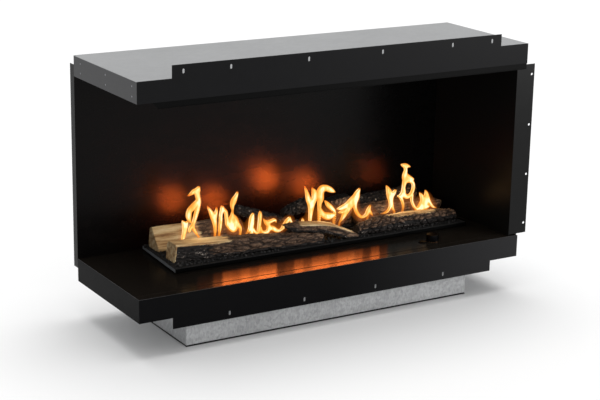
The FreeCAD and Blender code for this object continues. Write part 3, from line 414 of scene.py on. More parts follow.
def makeFlame():
    look = flameLook
    material, wire = newFinish("flame")
    core, haze, rise = [wire.attribute(name) for name in ("core", "haze", "rise")]
    lick = wire.grain(1.0, look["lick"], detail=3.0, roughness=0.55)
    heat = wire.grain(1.0, look["heat"], detail=2.0, roughness=0.5).between(*look["heatFrom"])
    warm = ((core ** look["corePower"]) * (look["coreWarm"] + heat * look["heatWarm"])
            + rise * look["riseWarm"]
            + (lick - look["lickMiddle"]) * look["lickWarm"] * core).held()
    body = (core.between(*look["bodyFrom"]) * (look["body"] + rise * look["bodyRise"])
            - lick.between(*look["gapFrom"]) * look["gap"])
    wire.surface({
        "Base Color": (0, 0, 0, 1),
        "Roughness": 1.0,
        "Specular IOR Level": 0.0,
        "Emission Color": wire.ramp(look["stops"], warm),
        "Emission Strength": look["strength"],
        "Alpha": body.held() + haze * (look["haze"] + lick * look["hazeLick"]),
    })
    return material


makers = ((galvanisedLook, makeGalvanised), (steelLook, makeBlackSteel),
          (metalLook, makeMetal), (plainLook, makePlain))
finishes = {name: make(name) for looks, make in makers for name in looks}
finishes["ember_stone"] = makeEmber()
finishes["ceramic_log"] = makeLog()
finishes["flame"] = makeFlame()
print("finishes made:", len(finishes))


def newObject(name, data):
    made = bpy.data.objects.new(name, data)
    bpy.context.scene.collection.objects.link(made)
    return made


def selectOnly(piece):
    bpy.ops.object.select_all(action="DESELECT")
    piece.select_set(True)
    bpy.context.view_layer.objects.active = piece


def applied(piece, kind, settings):
    selectOnly(piece)
    modifier = piece.modifiers.new(kind.lower(), kind)
    for name, value in settings.items():
        setattr(modifier, name, value)
    bpy.ops.object.modifier_apply(modifier=modifier.name)


mending = {"merge": 0.00001, "flat": math.radians(0.5)}


def copyOf(nodeName, pieceName, flatten=True):
    # a merged copy of a CAD node's loose triangles
    piece = newObject(pieceName, nodes[nodeName].data.copy())
    selectOnly(piece)
    piece.data.materials.clear()
    if piece.data.has_custom_normals:
        bpy.ops.mesh.customdata_custom_splitnormals_clear()
    bpy.ops.object.mode_set(mode="EDIT")
    bpy.ops.mesh.select_all(action="SELECT")
    bpy.ops.mesh.remove_doubles(threshold=mending["merge"])
    if flatten:
        bpy.ops.mesh.dissolve_limited(angle_limit=mending["flat"])
    bpy.ops.object.mode_set(mode="OBJECT")
    return piece


def settle(piece, body, slot, *standsFor):
    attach(piece, body)
    if standsFor:
        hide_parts(*standsFor)


sheetMetal = {
    # node: finish, slot, width of the eased edge
    "top_cover": ("galvanised_plate", "galvanised", 0.0007),
    "front_lintel": ("lintel_coat", "black_steel", 0.0006),
    "left_lintel": ("end_coat", "black_steel", 0.0006),
    "ceiling_panel": ("black_wall", "black_steel", 0.0004),
    "heat_strip": ("strip_coat", "black_steel", 0.0005),
    "right_liner": ("side_wall", "black_steel", 0.0006),
    "back_panel": ("black_wall", "black_steel", 0.0006),
    "front_apron": ("apron_coat", "black_steel", 0.0006),
    "left_apron": ("left_coat", "black_steel", 0.0006),
    "right_side_panel": ("galvanised_wall", "galvanised", 0.0006),
    "bottom_pan": ("galvanised_wall", "galvanised", 0.0005),
    "plinth_channel": ("galvanised_plinth", "galvanised", 0.0006),
    "plinth_left_end": ("galvanised_plinth", "galvanised", 0.0005),
    "plinth_right_end": ("galvanised_plinth", "galvanised", 0.0005),
    "log_tray": ("black_tray", "tray_steel", 0.0006),
}
# a painted highlight on a sheet's upper edge, where it catches the light
edgeHighlights = {"nodes": ("front_apron", "left_apron", "right_liner"), "upward": 0.4, "depth": 0.0012}
# the tray's left side gets a lighter grey, a painted highlight where light falls on it
trayLitSide = {"node": "log_tray", "facing": -0.6, "depth": 0.012}
floorSheets = ("floor_panel", "floor_front_left", "floor_front_right", "filler_plate")
easing = {"segments": 2, "angle": math.radians(40), "floorWidth": 0.0004}
bodyOf = {name: body for body, names in frame["record"]["behaviour"]["bodies"].items() for name in names}


def easeEdges(piece, width, finish):
    applied(piece, "BEVEL", {"width": width, "segments": easing["segments"], "limit_method": "ANGLE",
                             "angle_limit": easing["angle"], "use_clamp_overlap": True})
    selectOnly(piece)
    bpy.ops.object.shade_flat()
    piece.data.materials.append(finishes[finish])


def secondFinish(piece, finish, chosen):
    piece.data.materials.append(finishes[finish])
    for face in piece.data.polygons:
        if chosen(face):
            face.material_index = 1


for nodeName, (finish, slot, width) in sheetMetal.items():
    piece = copyOf(nodeName, nodeName + "_sheet")
    easeEdges(piece, width, finish)
    low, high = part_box(nodeName)
    if nodeName in edgeHighlights["nodes"]:
        # painted highlight on the upward faces along the top edge
        secondFinish(piece, "bare_edge", lambda face: (
            face.normal.z > edgeHighlights["upward"] and face.center.z > high.z - edgeHighlights["depth"]))
    if nodeName == trayLitSide["node"]:
        secondFinish(piece, "tray_side", lambda face: (
            face.normal.x < trayLitSide["facing"] and face.center.x < low.x + trayLitSide["depth"]))
    settle(piece, bodyOf[nodeName], slot, nodeName)
print("sheet metal eased:", len(sheetMetal))


def joinFloor():
    # the hearth floor: one gloss sheet for the four nodes that make it up
    parts = [copyOf(name, name + "_sheet", flatten=False) for name in floorSheets]
    sheet = parts[0]
    selectOnly(sheet)
    for part in parts:
        part.select_set(True)
    bpy.ops.object.join()
    sheet.name = "hearth_floor"
    easeEdges(sheet, easing["floorWidth"], "black_floor")
    settle(sheet, "casing", "gloss_black", *floorSheets)


joinFloor()

nodeFinish = {
    "lintel_rivets": "bright_screw", "back_screws": "bright_screw", "trough_screws": "bright_screw",
    "burner_trough": "stainless_sheet", "burner_fibre": "fibre_block", "fuel_tank": "stainless_sheet",
    "filler_neck": "neck_flange", "button_ring": "polished_cap", "start_button": "polished_cap",
    "filler_cap": "polished_cap", "control_box": "moulded_black", "power_inlet": "moulded_black",
    "tray_feet": "foot_rubber", "ember_bed": "ember_stone",
}
for nodeName, finish in nodeFinish.items():
    # these nodes stay as they are, and get a finish
    for holder in nodes[nodeName].material_slots:
        holder.material = finishes[finish]


# plates and around: how many cracks there are along a metre and across it; char and crack: how deep they are.
# brown and pale patches are (from, to, facing, reach): shares of the log's length, the side that they face
# and how far round that side they reach; pale is bare wood, brown is bark that isn't burnt
logShapes = {
    "log_back_left": {
        "soot": 0.1, "plates": 24, "seed": 3, "char": 0.5, "crack": 0.7,
        "brown": [(0.0, 1.0, (0, 0, 1), -1.2)],
        "pale": [(-0.2, 0.98, (0, 0.2, 1), 0.84), (-0.2, 0.50, (0, -1, 0.3), -0.2),
                 (-0.2, 0.16, (-1, 0, 0), 0.35)]},
    "log_front_left": {
        "plates": 26, "seed": 8, "char": 0.8, "crack": 1.0, "brown": [(0.22, 1.3, (0, -0.5, 0.87), 0.46)],
        "pale": [(-0.2, 0.36, (0, 0.05, 1), 0.50), (-0.2, 0.14, (-1, 0, 0), 0.35)]},
    "log_front_middle": {
        "plates": 22, "seed": 12, "char": 0.5, "crack": 0.8, "brown": [(-0.2, 1.3, (0, -0.5, 0.87), 0.46)],
        "pale": [(0.20, 0.93, (0, -0.3, 1), 0.60)]},
    "log_front_right": {
        "plates": 50, "around": 74, "seed": 17, "char": 1.0, "crack": 1.3,
        "brown": [(-0.2, 1.2, (0, -0.35, 1), 0.35)],
        "pale": [(0.32, 0.80, (0, 0.35, 1), 0.84)]},
    "log_back_middle": {
        "soot": 0.16, "plates": 40, "seed": 21, "char": 0.9, "crack": 1.0,
        "brown": [(-0.2, 1.2, (0, -1, 0), 0.2)]},
    "log_middle_right": {
        "soot": 0.12, "plates": 24, "seed": 26, "char": 0.6, "crack": 0.7,
        "brown": [(-0.2, 1.2, (0, -0.6, 0.6), -0.4)],
        "pale": [(1.0, 1.3, (1, 0, 0.4), 0.4)]},
    "log_back_right": {
        "soot": 0.24, "plates": 62, "around": 84, "seed": 31, "char": 1.0, "crack": 1.2,
        "brown": [(0.55, 1.2, (0, -1, 0), 0.3)]},
    "log_cross_left": {
        "soot": 0.14, "plates": 66, "around": 88, "seed": 37, "char": 1.0, "crack": 1.2,
        "brown": [(0.6, 1.2, (0, -1, 0), 0.5)]},
    "log_cross_middle": {"soot": 0.34, "plates": 62, "around": 84, "seed": 41, "char": 1.0, "crack": 1.3},
}
logCarving = {
    "voxel": 0.0021, "rounding": 3, "outward": 0.0034, "around": 112,
    # how far one step of a log's seed shifts its noise
    "shift": (1.7, 3.1, 0.9),
    # depth of furrows, cracks, swelling, fine grain and the bands on bare wood
    "bark": 0.0030, "cells": 0.0052, "swell": 0.0044, "fine": 0.0008, "bands": 0.0024,
    "furrowWidth": 0.16, "crackWidth": 0.22, "charFills": 0.4, "bend": 0.5,
    # how softly a patch ends along the log and round it, where an end face begins, and the painted shade on it
    "border": 0.10, "turn": 0.16, "endTurn": (0.6, 0.85), "endShade": 0.46,
    "ridge": 0.85, "reliefBase": 0.75, "reliefFine": 0.35, "reliefSwell": 0.25,
}
# how often each noise turns, along a metre of the log and across it
logNoise = {"bend": (9, 14), "furrow": (22, 105), "swell": (17, 26), "fine": (210, 330),
            "line": (12, 240), "band": (7, 78)}


def patchShare(patches, share, normals):
    # how much each vertex belongs to the patches
    most = np.zeros(len(share))
    border, turn = logCarving["border"], logCarving["turn"]
    for start, end, facing, reach in patches:
        side = np.array(facing, float)
        side /= np.linalg.norm(side)
        turned = smooth(normals @ side, reach - turn, reach + turn)
        begun, over = [smooth(share, place - border, place + border) for place in (start, end)]
        most = np.maximum(most, turned * (begun * (1 - over)))
    return most


def vertexData(mesh, name):
    values = np.empty(len(mesh.vertices) * 3)
    mesh.vertices.foreach_get(name, values)
    return values.reshape(-1, 3)


def carveLog(piece, look):
    mesh, carving = piece.data, logCarving
    points, normals = vertexData(mesh, "co"), vertexData(mesh, "normal")
    middle = points.mean(axis=0)
    directions = np.linalg.eigh(np.cov((points - middle).T))[1]
    axis = directions[:, 2] * (1 if directions[0, 2] > 0 else -1)
    side = np.cross(axis, (0, 0, 1))
    side /= np.linalg.norm(side)
    upward = np.cross(side, axis)
    local = np.stack([(points - middle) @ way for way in (axis, side, upward)], axis=1)
    length = local[:, 0].max() - local[:, 0].min()
    share = (local[:, 0] - local[:, 0].min()) / length
    endFace = smooth(np.abs(normals @ axis), *carving["endTurn"])
    pale = patchShare(look.get("pale", ()), share, normals)
    brown = patchShare(look.get("brown", ()), share, normals)
    shift = Vector([step * look["seed"] for step in carving["shift"]])
    around = look.get("around", carving["around"])
    depth = np.zeros(len(points))
    relief = np.zeros(len(points))

    def sample(kind, spot, bend=0.0):
        run, width = logNoise[kind]
        return noise.noise(Vector((spot[0] * run, spot[1] * width + bend, spot[2] * width)) + shift)

    for i, spot in enumerate(local):
        bend = sample("bend", spot) * carving["bend"]
        furrow = max(0.0, 1 - abs(sample("furrow", spot, bend)) / carving["furrowWidth"])
        nearest = noise.voronoi(Vector((
            spot[0] * look["plates"], spot[1] * around + bend, spot[2] * around)) + shift)[0]
        crack = max(0.0, 1 - (nearest[1] - nearest[0]) / carving["crackWidth"])
        swell = sample("swell", spot)
        fine = sample("fine", spot)
        cut = max(pale[i], endFace[i])
        bark = (1 - cut) * look["crack"]
        depth[i] = (
            furrow * carving["bark"] * bark * (1 - look["char"] * carving["charFills"])
            + crack * carving["cells"] * bark * look["char"]
            + (0.5 + 0.5 * swell) * carving["swell"] * (1 - endFace[i])
            + (0.5 + 0.5 * fine) * carving["fine"]
            + (0.5 + 0.5 * sample("line", spot)) * carving["fine"] * cut
            + (0.5 + 0.5 * sample("band", spot)) * carving["bands"] * cut
        )
        # painted shade: darker in furrows and cracks, lighter on the swells, kept as relief for the colour
        ridge = 1 - max(furrow, crack * look["char"]) * carving["ridge"]
        height = carving["reliefBase"] + carving["reliefFine"] * fine + carving["reliefSwell"] * swell
        relief[i] = min(1.0, max(0.0, ridge * height))
    points += normals * (carving["outward"] - depth)[:, None]
    mesh.vertices.foreach_set("co", points.reshape(-1))
    # each log's own soot, plus painted shade that darkens the end faces
    soot = np.minimum(look.get("soot", 0.0) + endFace * carving["endShade"], 1.0)
    for name, values in (("relief", relief), ("pale", pale), ("brown", brown), ("soot", soot)):
        mesh.attributes.new(name, "FLOAT", "POINT").data.foreach_set("value", values.astype(np.float32))
    grainData = mesh.attributes.new("grain", "FLOAT_VECTOR", "POINT").data
    grainData.foreach_set("vector", local.reshape(-1).astype(np.float32))
    mesh.update()


logPieces = []
for nodeName, look in logShapes.items():
    piece = copyOf(nodeName, nodeName + "_carved", flatten=False)
    applied(piece, "REMESH", {"mode": "VOXEL", "voxel_size": logCarving["voxel"], "adaptivity": 0.0})
    applied(piece, "SMOOTH", {"factor": 0.5, "iterations": logCarving["rounding"]})
    carveLog(piece, look)
    selectOnly(piece)
    bpy.ops.object.shade_smooth()
    piece.data.materials.append(finishes["ceramic_log"])
    settle(piece, "log_set", "log_bark", nodeName)
    logPieces.append(piece)
print("logs carved:", sum(len(piece.data.polygons) for piece in logPieces), "faces")


granules = {
    "tries": 9000, "small": 0.0026, "large": 0.0058, "spacing": 0.86, "seed": 5, "edge": 0.008, "cell": 0.012,
    # how high a granule's middle lies above the bed, as a share of its size, and its room below the logs
    "lift": (0.35, 0.75), "room": 1.35, "above": 0.2, "below": 0.004,
    # the flame slot that stays free, from corner to corner
    "slot": ((-0.357, 0.031), (0.416, 0.075)),
    "squash": ((0.75, 1.15), (0.75, 1.1), (0.6, 0.95)), "bumps": (0.8, 1.1), "turn": (0, 6.28),
}


def isOnLog(trees, spot, size):
    for tree in trees:
        if tree.find_nearest(spot, size * granules["room"])[0] is not None:
            return True
        higher = spot + Vector((0, 0, granules["above"]))
        covered = tree.ray_cast(higher, Vector((0, 0, -1)), granules["above"])
        under = tree.ray_cast(spot, Vector((0, 0, 1)), granules["below"])
        if covered[0] is not None and under[0] is not None and under[3] < size:
            return True
    return False


def isCrowded(grid, cell, x, y, size):
    around = [(cell[0] + stepX, cell[1] + stepY) for stepX in (-1, 0, 1) for stepY in (-1, 0, 1)]
    return any(math.hypot(otherX - x, otherY - y) < (otherSize + size) * granules["spacing"]
               for place in around for otherX, otherY, otherSize in grid.get(place, ()))


def scatterGranules():
    dice = random.Random(granules["seed"])
    low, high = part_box("ember_bed")
    (slotLeft, slotFront), (slotRight, slotBack) = granules["slot"]
    bpy.ops.object.select_all(action="DESELECT")
    bpy.ops.mesh.primitive_ico_sphere_add(subdivisions=1, radius=1)
    pattern = bpy.context.object
    corners = [vertex.co.copy() for vertex in pattern.data.vertices]
    faces = [tuple(face.vertices) for face in pattern.data.polygons]
    bpy.data.objects.remove(pattern)
    trees = [BVHTree.FromPolygons(
        [vertex.co for vertex in piece.data.vertices],
        [tuple(face.vertices) for face in piece.data.polygons]) for piece in logPieces]
    grid = {}
    allCorners, allFaces = [], []
    for attempt in range(granules["tries"]):
        size = dice.uniform(granules["small"], granules["large"])
        x = dice.uniform(low.x + granules["edge"], high.x - granules["edge"])
        y = dice.uniform(low.y + granules["edge"], high.y - granules["edge"])
        spot = Vector((x, y, high.z + size * dice.uniform(*granules["lift"])))
        cell = (int(x / granules["cell"]), int(y / granules["cell"]))
        if slotLeft - size < x < slotRight + size and slotFront - size < y < slotBack + size:
            continue
        if isCrowded(grid, cell, x, y, size) or isOnLog(trees, spot, size):
            continue
        grid.setdefault(cell, []).append((x, y, size))
        turn = Matrix.Rotation(dice.uniform(*granules["turn"]), 3, "Z")
        turn = turn @ Matrix.Rotation(dice.uniform(*granules["turn"]), 3, "X")
        squash = Vector([dice.uniform(*limits) for limits in granules["squash"]])
        start = len(allCorners)
        for corner in corners:
            bit = corner * (size * dice.uniform(*granules["bumps"]))
            allCorners.append(spot + turn @ (bit * squash))
        allFaces.extend(tuple(start + index for index in face) for face in faces)
    mesh = bpy.data.meshes.new("ember_granules")
    mesh.from_pydata(allCorners, [], allFaces)
    piece = newObject("ember_granules", mesh)
    piece.data.materials.append(finishes["ember_stone"])
    settle(piece, "log_set", "embers")
    return len(allFaces) // len(faces)


print("ember granules:", scatterGranules())


# each tongue is a run of (across, height, width) in millimetres, on the plane that its flame stands in
flameTongues = {
    "first": (
        [(-318, 222, 2.8), (-328, 237, 7.2), (-335, 254, 8.9), (-330, 270, 11.1), (-322, 296, 14.4),
         (-317, 319, 13.9), (-320, 336, 14.4), (-322, 350, 16.1), (-317, 359, 7.2), (-316, 362, 1.2)],
        [(-319, 352, 13.9), (-332, 350, 12.8), (-342, 345, 6.1), (-352, 340, 1.2)],
        [(-343, 266, 5), (-348, 283, 16.1), (-346, 298, 17.2), (-335, 308, 18.3), (-323, 319, 13.9)],
        [(-366, 221, 9.4), (-361, 242, 12.8), (-359, 257, 16.1), (-364, 268, 8.3), (-366, 273, 1.7)],
        [(-359, 257, 13.9), (-355, 263, 10), (-351, 269, 1.7)],
        [(-335, 254, 8.3), (-342, 250, 8.3), (-346, 240, 5.5)],
    ),
    "second": (
        [(-290, 304, 1.4), (-281, 288, 10.5), (-273, 272, 17.2), (-270, 259, 13.9), (-268, 240, 8.3),
         (-268, 217, 3.9)],
        [(-262, 297, 1.4), (-264, 285, 7.2), (-268, 271, 12.2)],
        [(-255, 218, 3.3), (-253, 238, 8.3), (-251, 256, 9.4), (-250, 275, 10), (-245, 291, 11.1),
         (-247, 298, 2.2)],
        [(-245, 290, 11.1), (-235, 281, 10), (-232, 262, 10.5), (-228, 245, 13.9), (-217, 238, 22.2)],
        [(-196, 334, 1.2), (-202, 321, 10), (-210, 307, 17.2), (-214, 295, 11.1), (-213, 281, 3.9),
         (-214, 269, 9.4), (-212, 256, 25.5), (-211, 243, 33.3), (-209, 231, 25)],
        [(-205, 247, 16.6), (-194, 236, 12.2), (-188, 226, 7.8), (-188, 209, 3.9)],
    ),
    "third": (
        [(-148, 266, 1.2), (-152, 254, 13.3), (-154, 240, 16.1), (-155, 224, 14.4), (-153, 207, 8.3)],
        [(-154, 237, 13.9), (-160, 222, 7.2), (-168, 208, 2.2)],
        [(-150, 220, 8.3), (-142, 210, 6.7), (-133, 207, 9.4), (-130, 220, 10.5), (-128, 239, 10.5),
         (-126, 256, 10.5), (-126, 268, 1.7)],
        [(-126, 220, 7.2), (-121, 209, 7.8), (-110, 204, 9.4), (-101, 206, 12.8), (-97, 218, 10.5),
         (-105, 231, 12.8), (-112, 239, 4.4), (-116, 245, 1.2)],
        [(-105, 231, 11.1), (-91, 234, 9.4), (-79, 236, 7.2), (-74, 227, 1.7)],
        [(-98, 216, 13.9), (-84, 212, 13.9), (-70, 203, 11.7), (-58, 203, 8.3), (-48, 214, 12.8),
         (-39, 227, 11.7), (-29, 237, 2.8)],
        [(-32, 233, 10), (-25, 222, 6.1), (-18, 216, 1.2)],
        [(13, 228, 1.4), (13, 220, 7.8), (14, 213, 10.5)],
    ),
    "fourth": (
        [(15, 324, 1.5), (23, 301, 9.5), (29, 283, 16), (38, 268, 21.3), (39, 254, 17.2),
         (38, 231, 11.2), (37, 211, 8.9)],
        [(41, 313, 2.4), (48, 298, 17.8), (49, 283, 18.9), (42, 267, 16.6)],
        [(118, 291, 2.4), (104, 299, 15.4), (87, 307, 18.3), (72, 305, 22.5), (67, 291, 24.9),
         (70, 277, 20.7), (67, 263, 13.6), (68, 238, 9.5), (68, 207, 7.7)],
        [(86, 270, 1.8), (97, 256, 13.6), (109, 244, 13), (119, 231, 6.5), (120, 199, 3.6)],
        [(70, 244, 11.8), (82, 228, 17.8), (99, 222, 20.7), (115, 224, 8.9)],
    ),
    "fifth": (
        [(202, 292, 1.8), (194, 279, 15.4), (188, 265, 24.3), (174, 254, 24.9), (157, 247, 15.4),
         (140, 241, 12.4), (127, 239, 2.4)],
        [(175, 251, 23.7), (158, 232, 19.5), (148, 215, 13), (138, 199, 4.1)],
        [(188, 262, 14.8), (188, 238, 10.7), (196, 218, 10.7), (212, 204, 9.5), (226, 208, 10.7),
         (233, 222, 11.2), (240, 237, 2.4)],
        [(234, 224, 10.1), (243, 212, 6.5), (251, 201, 1.2)],
        [(131, 228, 2.4), (140, 229, 6.5), (154, 231, 8.9)],
    ),
    "sixth": (
        [(281, 295, 1.5), (288, 279, 15.4), (294, 262, 21.3), (296, 247, 13.6), (295, 229, 7.7),
         (284, 215, 6.5), (259, 211, 1.5)],
        [(314, 279, 1.5), (306, 269, 12.4), (297, 261, 16.6)],
        [(297, 250, 13), (302, 228, 9.5), (310, 214, 2.4)],
    ),
    "seventh": (
        [(329, 351, 2.4), (343, 346, 14.8), (353, 344, 8.3), (362, 341, 1.5)],
        [(344, 344, 10.7), (346, 332, 10.1), (344, 317, 17.8), (351, 307, 24.9), (366, 303, 14.8),
         (375, 302, 2.4)],
        [(348, 306, 17.8), (344, 298, 14.8), (340, 283, 10.7), (339, 266, 16), (330, 257, 11.8),
         (320, 258, 2.4)],
        [(339, 261, 16), (353, 252, 13), (367, 257, 11.2), (375, 274, 10.1), (374, 289, 10.1),
         (364, 300, 14.8)],
        [(330, 256, 10.1), (338, 238, 7.7), (341, 224, 5.3), (339, 210, 2.7)],
        [(371, 254, 10.1), (372, 237, 7.7), (380, 220, 8.3), (390, 210, 6.5)],
    ),
    "eighth": (
        [(399, 259, 1.5), (408, 244, 12.4), (414, 231, 18.9)],
        [(419, 264, 1.5), (423, 249, 13), (421, 234, 26), (414, 220, 29.6), (400, 212, 16),
         (388, 209, 2.4)],
        [(428, 236, 11.8), (439, 219, 8.9), (450, 208, 6.5), (465, 202, 1.2)],
        [(407, 212, 14.8), (421, 213, 14.8), (432, 213, 5.9)],
    ),
}
flameSheet = {
    "left": -0.400, "right": 0.486, "low": 0.181, "high": 0.372, "cell": 0.0016,
    # how far a tongue's light reaches past its drawn half width, more so where it is wide
    "spread": 0.74, "fuller": 0.013, "rim": 0.85, "finest": 1.0,
    # a stroke that is narrower than this many cells is drawn weaker
    "full": 2.2,
    "steps": 5, "thick": 0.0048, "least": 0.0002, "thinFoot": 0.4,
    "sway": 0.004, "swaySpan": (14, 11), "swaySeed": 3.0,
    # how deep the sheet stands, left and right, at the logs' tops and down at the slot;
    # change: where along x it goes from left to right; leaves: the heights over which it leaves the slot
    "plane": (0.046, 0.026), "slot": (0.052, 0.032), "change": (0.250, 0.264), "leaves": (0.183, 0.215),
    # a tongue's foot goes on down to the slot, in millimetres
    "slotEnds": (-348, 408), "rootHeight": 227, "rootWidth": 9, "rootGlow": 0.34, "rootSteps": 24,
    "rootBase": 2, "rootLean": 30, "footWidth": 2,
    "merge": 2.2, "soften": (0.66, 0.52, 0.0022), "blurSpan": 3,
    "hazeReach": 0.009, "hazeTop": (0.216, 0.276), "hazeLit": 0.6, "lit": 0.035, "mends": 40,
    # rise: the heights over which the flame's look changes from foot to tip
    "rise": (0.192, 0.250), "smoothing": {"factor": 0.5, "iterations": 2},
}


def alongTongue(knots):
    # points on a smooth curve through the knots
    knots = [np.array(knot, float) for knot in knots]
    knots = [2 * knots[0] - knots[1]] + knots + [2 * knots[-1] - knots[-2]]
    run = []
    for i in range(1, len(knots) - 2):
        before, start, end, after = knots[i - 1:i + 3]
        for step in range(flameSheet["steps"]):
            part = step / flameSheet["steps"]
            run.append(0.5 * (
                2 * start + (end - before) * part + (2 * before - 5 * start + 4 * end - after) * part * part
                + (3 * start - before - 3 * end + after) * part ** 3))
    run.append(knots[-2])
    run = np.array(run)
    run[:, 2] = np.maximum(run[:, 2], flameSheet["finest"])
    return run


def drawStroke(columns, rows, run, glow):
    # the light of a stroke on the cells that it passes
    stroke = np.zeros((len(columns), len(rows)))
    full = flameSheet["full"] * flameSheet["cell"]
    for x, z, width in run:
        fuller = flameSheet["spread"] + width * flameSheet["fuller"]
        reach = (width / 2 * fuller + flameSheet["rim"]) / 1000
        x, z = x / 1000, z / 1000
        left, right = np.searchsorted(columns, (x - reach, x + reach))
        low, high = np.searchsorted(rows, (z - reach, z + reach))
        if left == right or low == high:
            continue
        away = ((columns[left:right, None] - x) ** 2 + (rows[None, low:high] - z) ** 2) / reach ** 2
        spot = stroke[left:right, low:high]
        np.maximum(spot, np.clip(1 - away, 0, 1) * glow * min(1.0, reach / full), out=spot)
    return stroke


def blurred(field, reach):
    steps = int(flameSheet["blurSpan"] * reach / flameSheet["cell"])
    bell = np.exp(-0.5 * (np.arange(-steps, steps + 1) * flameSheet["cell"] / reach) ** 2)
    bell /= bell.sum()
    for axis in (0, 1):
        field = np.apply_along_axis(np.convolve, axis, field, bell, "same")
    return field


def footRun(x, z, width):
    # the stroke from a tongue's end down to the burner's slot, if that end is a foot
    foot = min(max(x, flameSheet["slotEnds"][0]), flameSheet["slotEnds"][1])
    leans = abs(foot - x) > flameSheet["rootLean"]
    if leans or width < flameSheet["footWidth"] or z > flameSheet["rootHeight"]:
        return []
    low = flameSheet["low"] * 1000 + flameSheet["rootBase"]
    shares = np.linspace(0, 1, flameSheet["rootSteps"])
    return [(x + (foot - x) * share, z + (low - z) * share, flameSheet["rootWidth"]) for share in shares]


def flameFields():
    columns = np.arange(flameSheet["left"], flameSheet["right"], flameSheet["cell"])
    rows = np.arange(flameSheet["low"], flameSheet["high"], flameSheet["cell"])
    total = np.zeros((len(columns), len(rows)))
    roots = np.zeros_like(total)
    for tongues in flameTongues.values():
        for tongue in tongues:
            total += drawStroke(columns, rows, alongTongue(tongue), 1.0) ** flameSheet["merge"]
            for end in (tongue[0], tongue[-1]):
                roots = np.maximum(roots, drawStroke(columns, rows, footRun(*end), flameSheet["rootGlow"]))
    core = np.maximum(np.minimum(total, 1.0) ** (1 / flameSheet["merge"]), roots)
    sharp, soft, reach = flameSheet["soften"]
    core = np.minimum(core * sharp + blurred(core, reach) * soft, 1.0)
    haze = blurred(core, flameSheet["hazeReach"]) * (1 - smooth(rows, *flameSheet["hazeTop"])[None, :])
    return columns, rows, core, np.minimum(haze, 1.0)


def litCells(core, haze):
    lit = np.maximum(core, haze * flameSheet["hazeLit"]) > flameSheet["lit"]
    kept = lit[:-1, :-1] | lit[1:, :-1] | lit[:-1, 1:] | lit[1:, 1:]
    for repeat in range(flameSheet["mends"]):
        # cells that meet only at a corner get the cell between them
        slant = kept[:-1, :-1] & kept[1:, 1:] & ~kept[1:, :-1] & ~kept[:-1, 1:]
        other = kept[1:, :-1] & kept[:-1, 1:] & ~kept[:-1, :-1] & ~kept[1:, 1:]
        if not (slant.any() or other.any()):
            break
        kept[1:, :-1] |= slant
        kept[:-1, :-1] |= other
    return kept


def sheetDepth(x, z):
    # where the sheet's middle stands, front to back
    across = smooth(x, *flameSheet["change"])
    rise = smooth(z, *flameSheet["leaves"])
    top, slot = [left + (right - left) * across for left, right in (flameSheet["plane"], flameSheet["slot"])]
    spanX, spanZ = flameSheet["swaySpan"]
    seed = flameSheet["swaySeed"]
    sway = [noise.noise(Vector((column * spanX, row * spanZ, seed))) for column, row in zip(x, z)]
    return slot + (top - slot) * rise + np.array(sway) * flameSheet["sway"] * rise, rise


def buildFlames():
    columns, rows, core, haze = flameFields()
    kept = litCells(core, haze)
    square = ((0, 0), (1, 0), (1, 1), (0, 1))
    used = np.zeros(core.shape, bool)
    for right, up in square:
        used[right:right + kept.shape[0], up:up + kept.shape[1]] |= kept
    index = np.full(core.shape, -1)
    index[used] = np.arange(used.sum())
    x, z = columns[np.nonzero(used)[0]], rows[np.nonzero(used)[1]]
    middle, rise = sheetDepth(x, z)
    thinFoot = flameSheet["thinFoot"]
    fuller = thinFoot + (1 - thinFoot) * rise
    half = flameSheet["least"] + flameSheet["thick"] * np.sqrt(core[used]) * fuller
    front, rear = [np.stack([x, middle + offset, z], axis=1) for offset in (-half, half)]
    keptColumns, keptRows = np.nonzero(kept)
    corners = [index[keptColumns + right, keptRows + up] for right, up in square]
    faces = [np.stack(corners, axis=1), np.stack(corners[::-1], axis=1) + len(x)]
    edged = np.pad(kept, 1)
    for number, (stepX, stepZ) in enumerate(((0, -1), (1, 0), (0, 1), (-1, 0))):
        # a wall where the next cell is dark
        free = ~edged[keptColumns + 1 + stepX, keptRows + 1 + stepZ]
        first, second = corners[number][free], corners[(number + 1) % 4][free]
        faces.append(np.stack([second, first, first + len(x), second + len(x)], axis=1))
    mesh = bpy.data.meshes.new("flames")
    mesh.from_pydata(np.concatenate([front, rear]).tolist(), [], np.concatenate(faces).tolist())
    warmRise = smooth(z, *flameSheet["rise"])
    for name, values in (("core", core[used]), ("haze", haze[used]), ("rise", warmRise)):
        data = mesh.attributes.new(name, "FLOAT", "POINT").data
        data.foreach_set("value", np.concatenate([values, values]).astype(np.float32))
    piece = newObject("flames", mesh)
    applied(piece, "SMOOTH", flameSheet["smoothing"])
    selectOnly(piece)
    bpy.ops.object.shade_smooth()
    mesh.materials.append(finishes["flame"])
    piece.visible_shadow = False
    piece.visible_diffuse = False
    settle(piece, "log_set", "embers")
    return len(mesh.polygons)


print("flames:", buildFlames(), "faces")


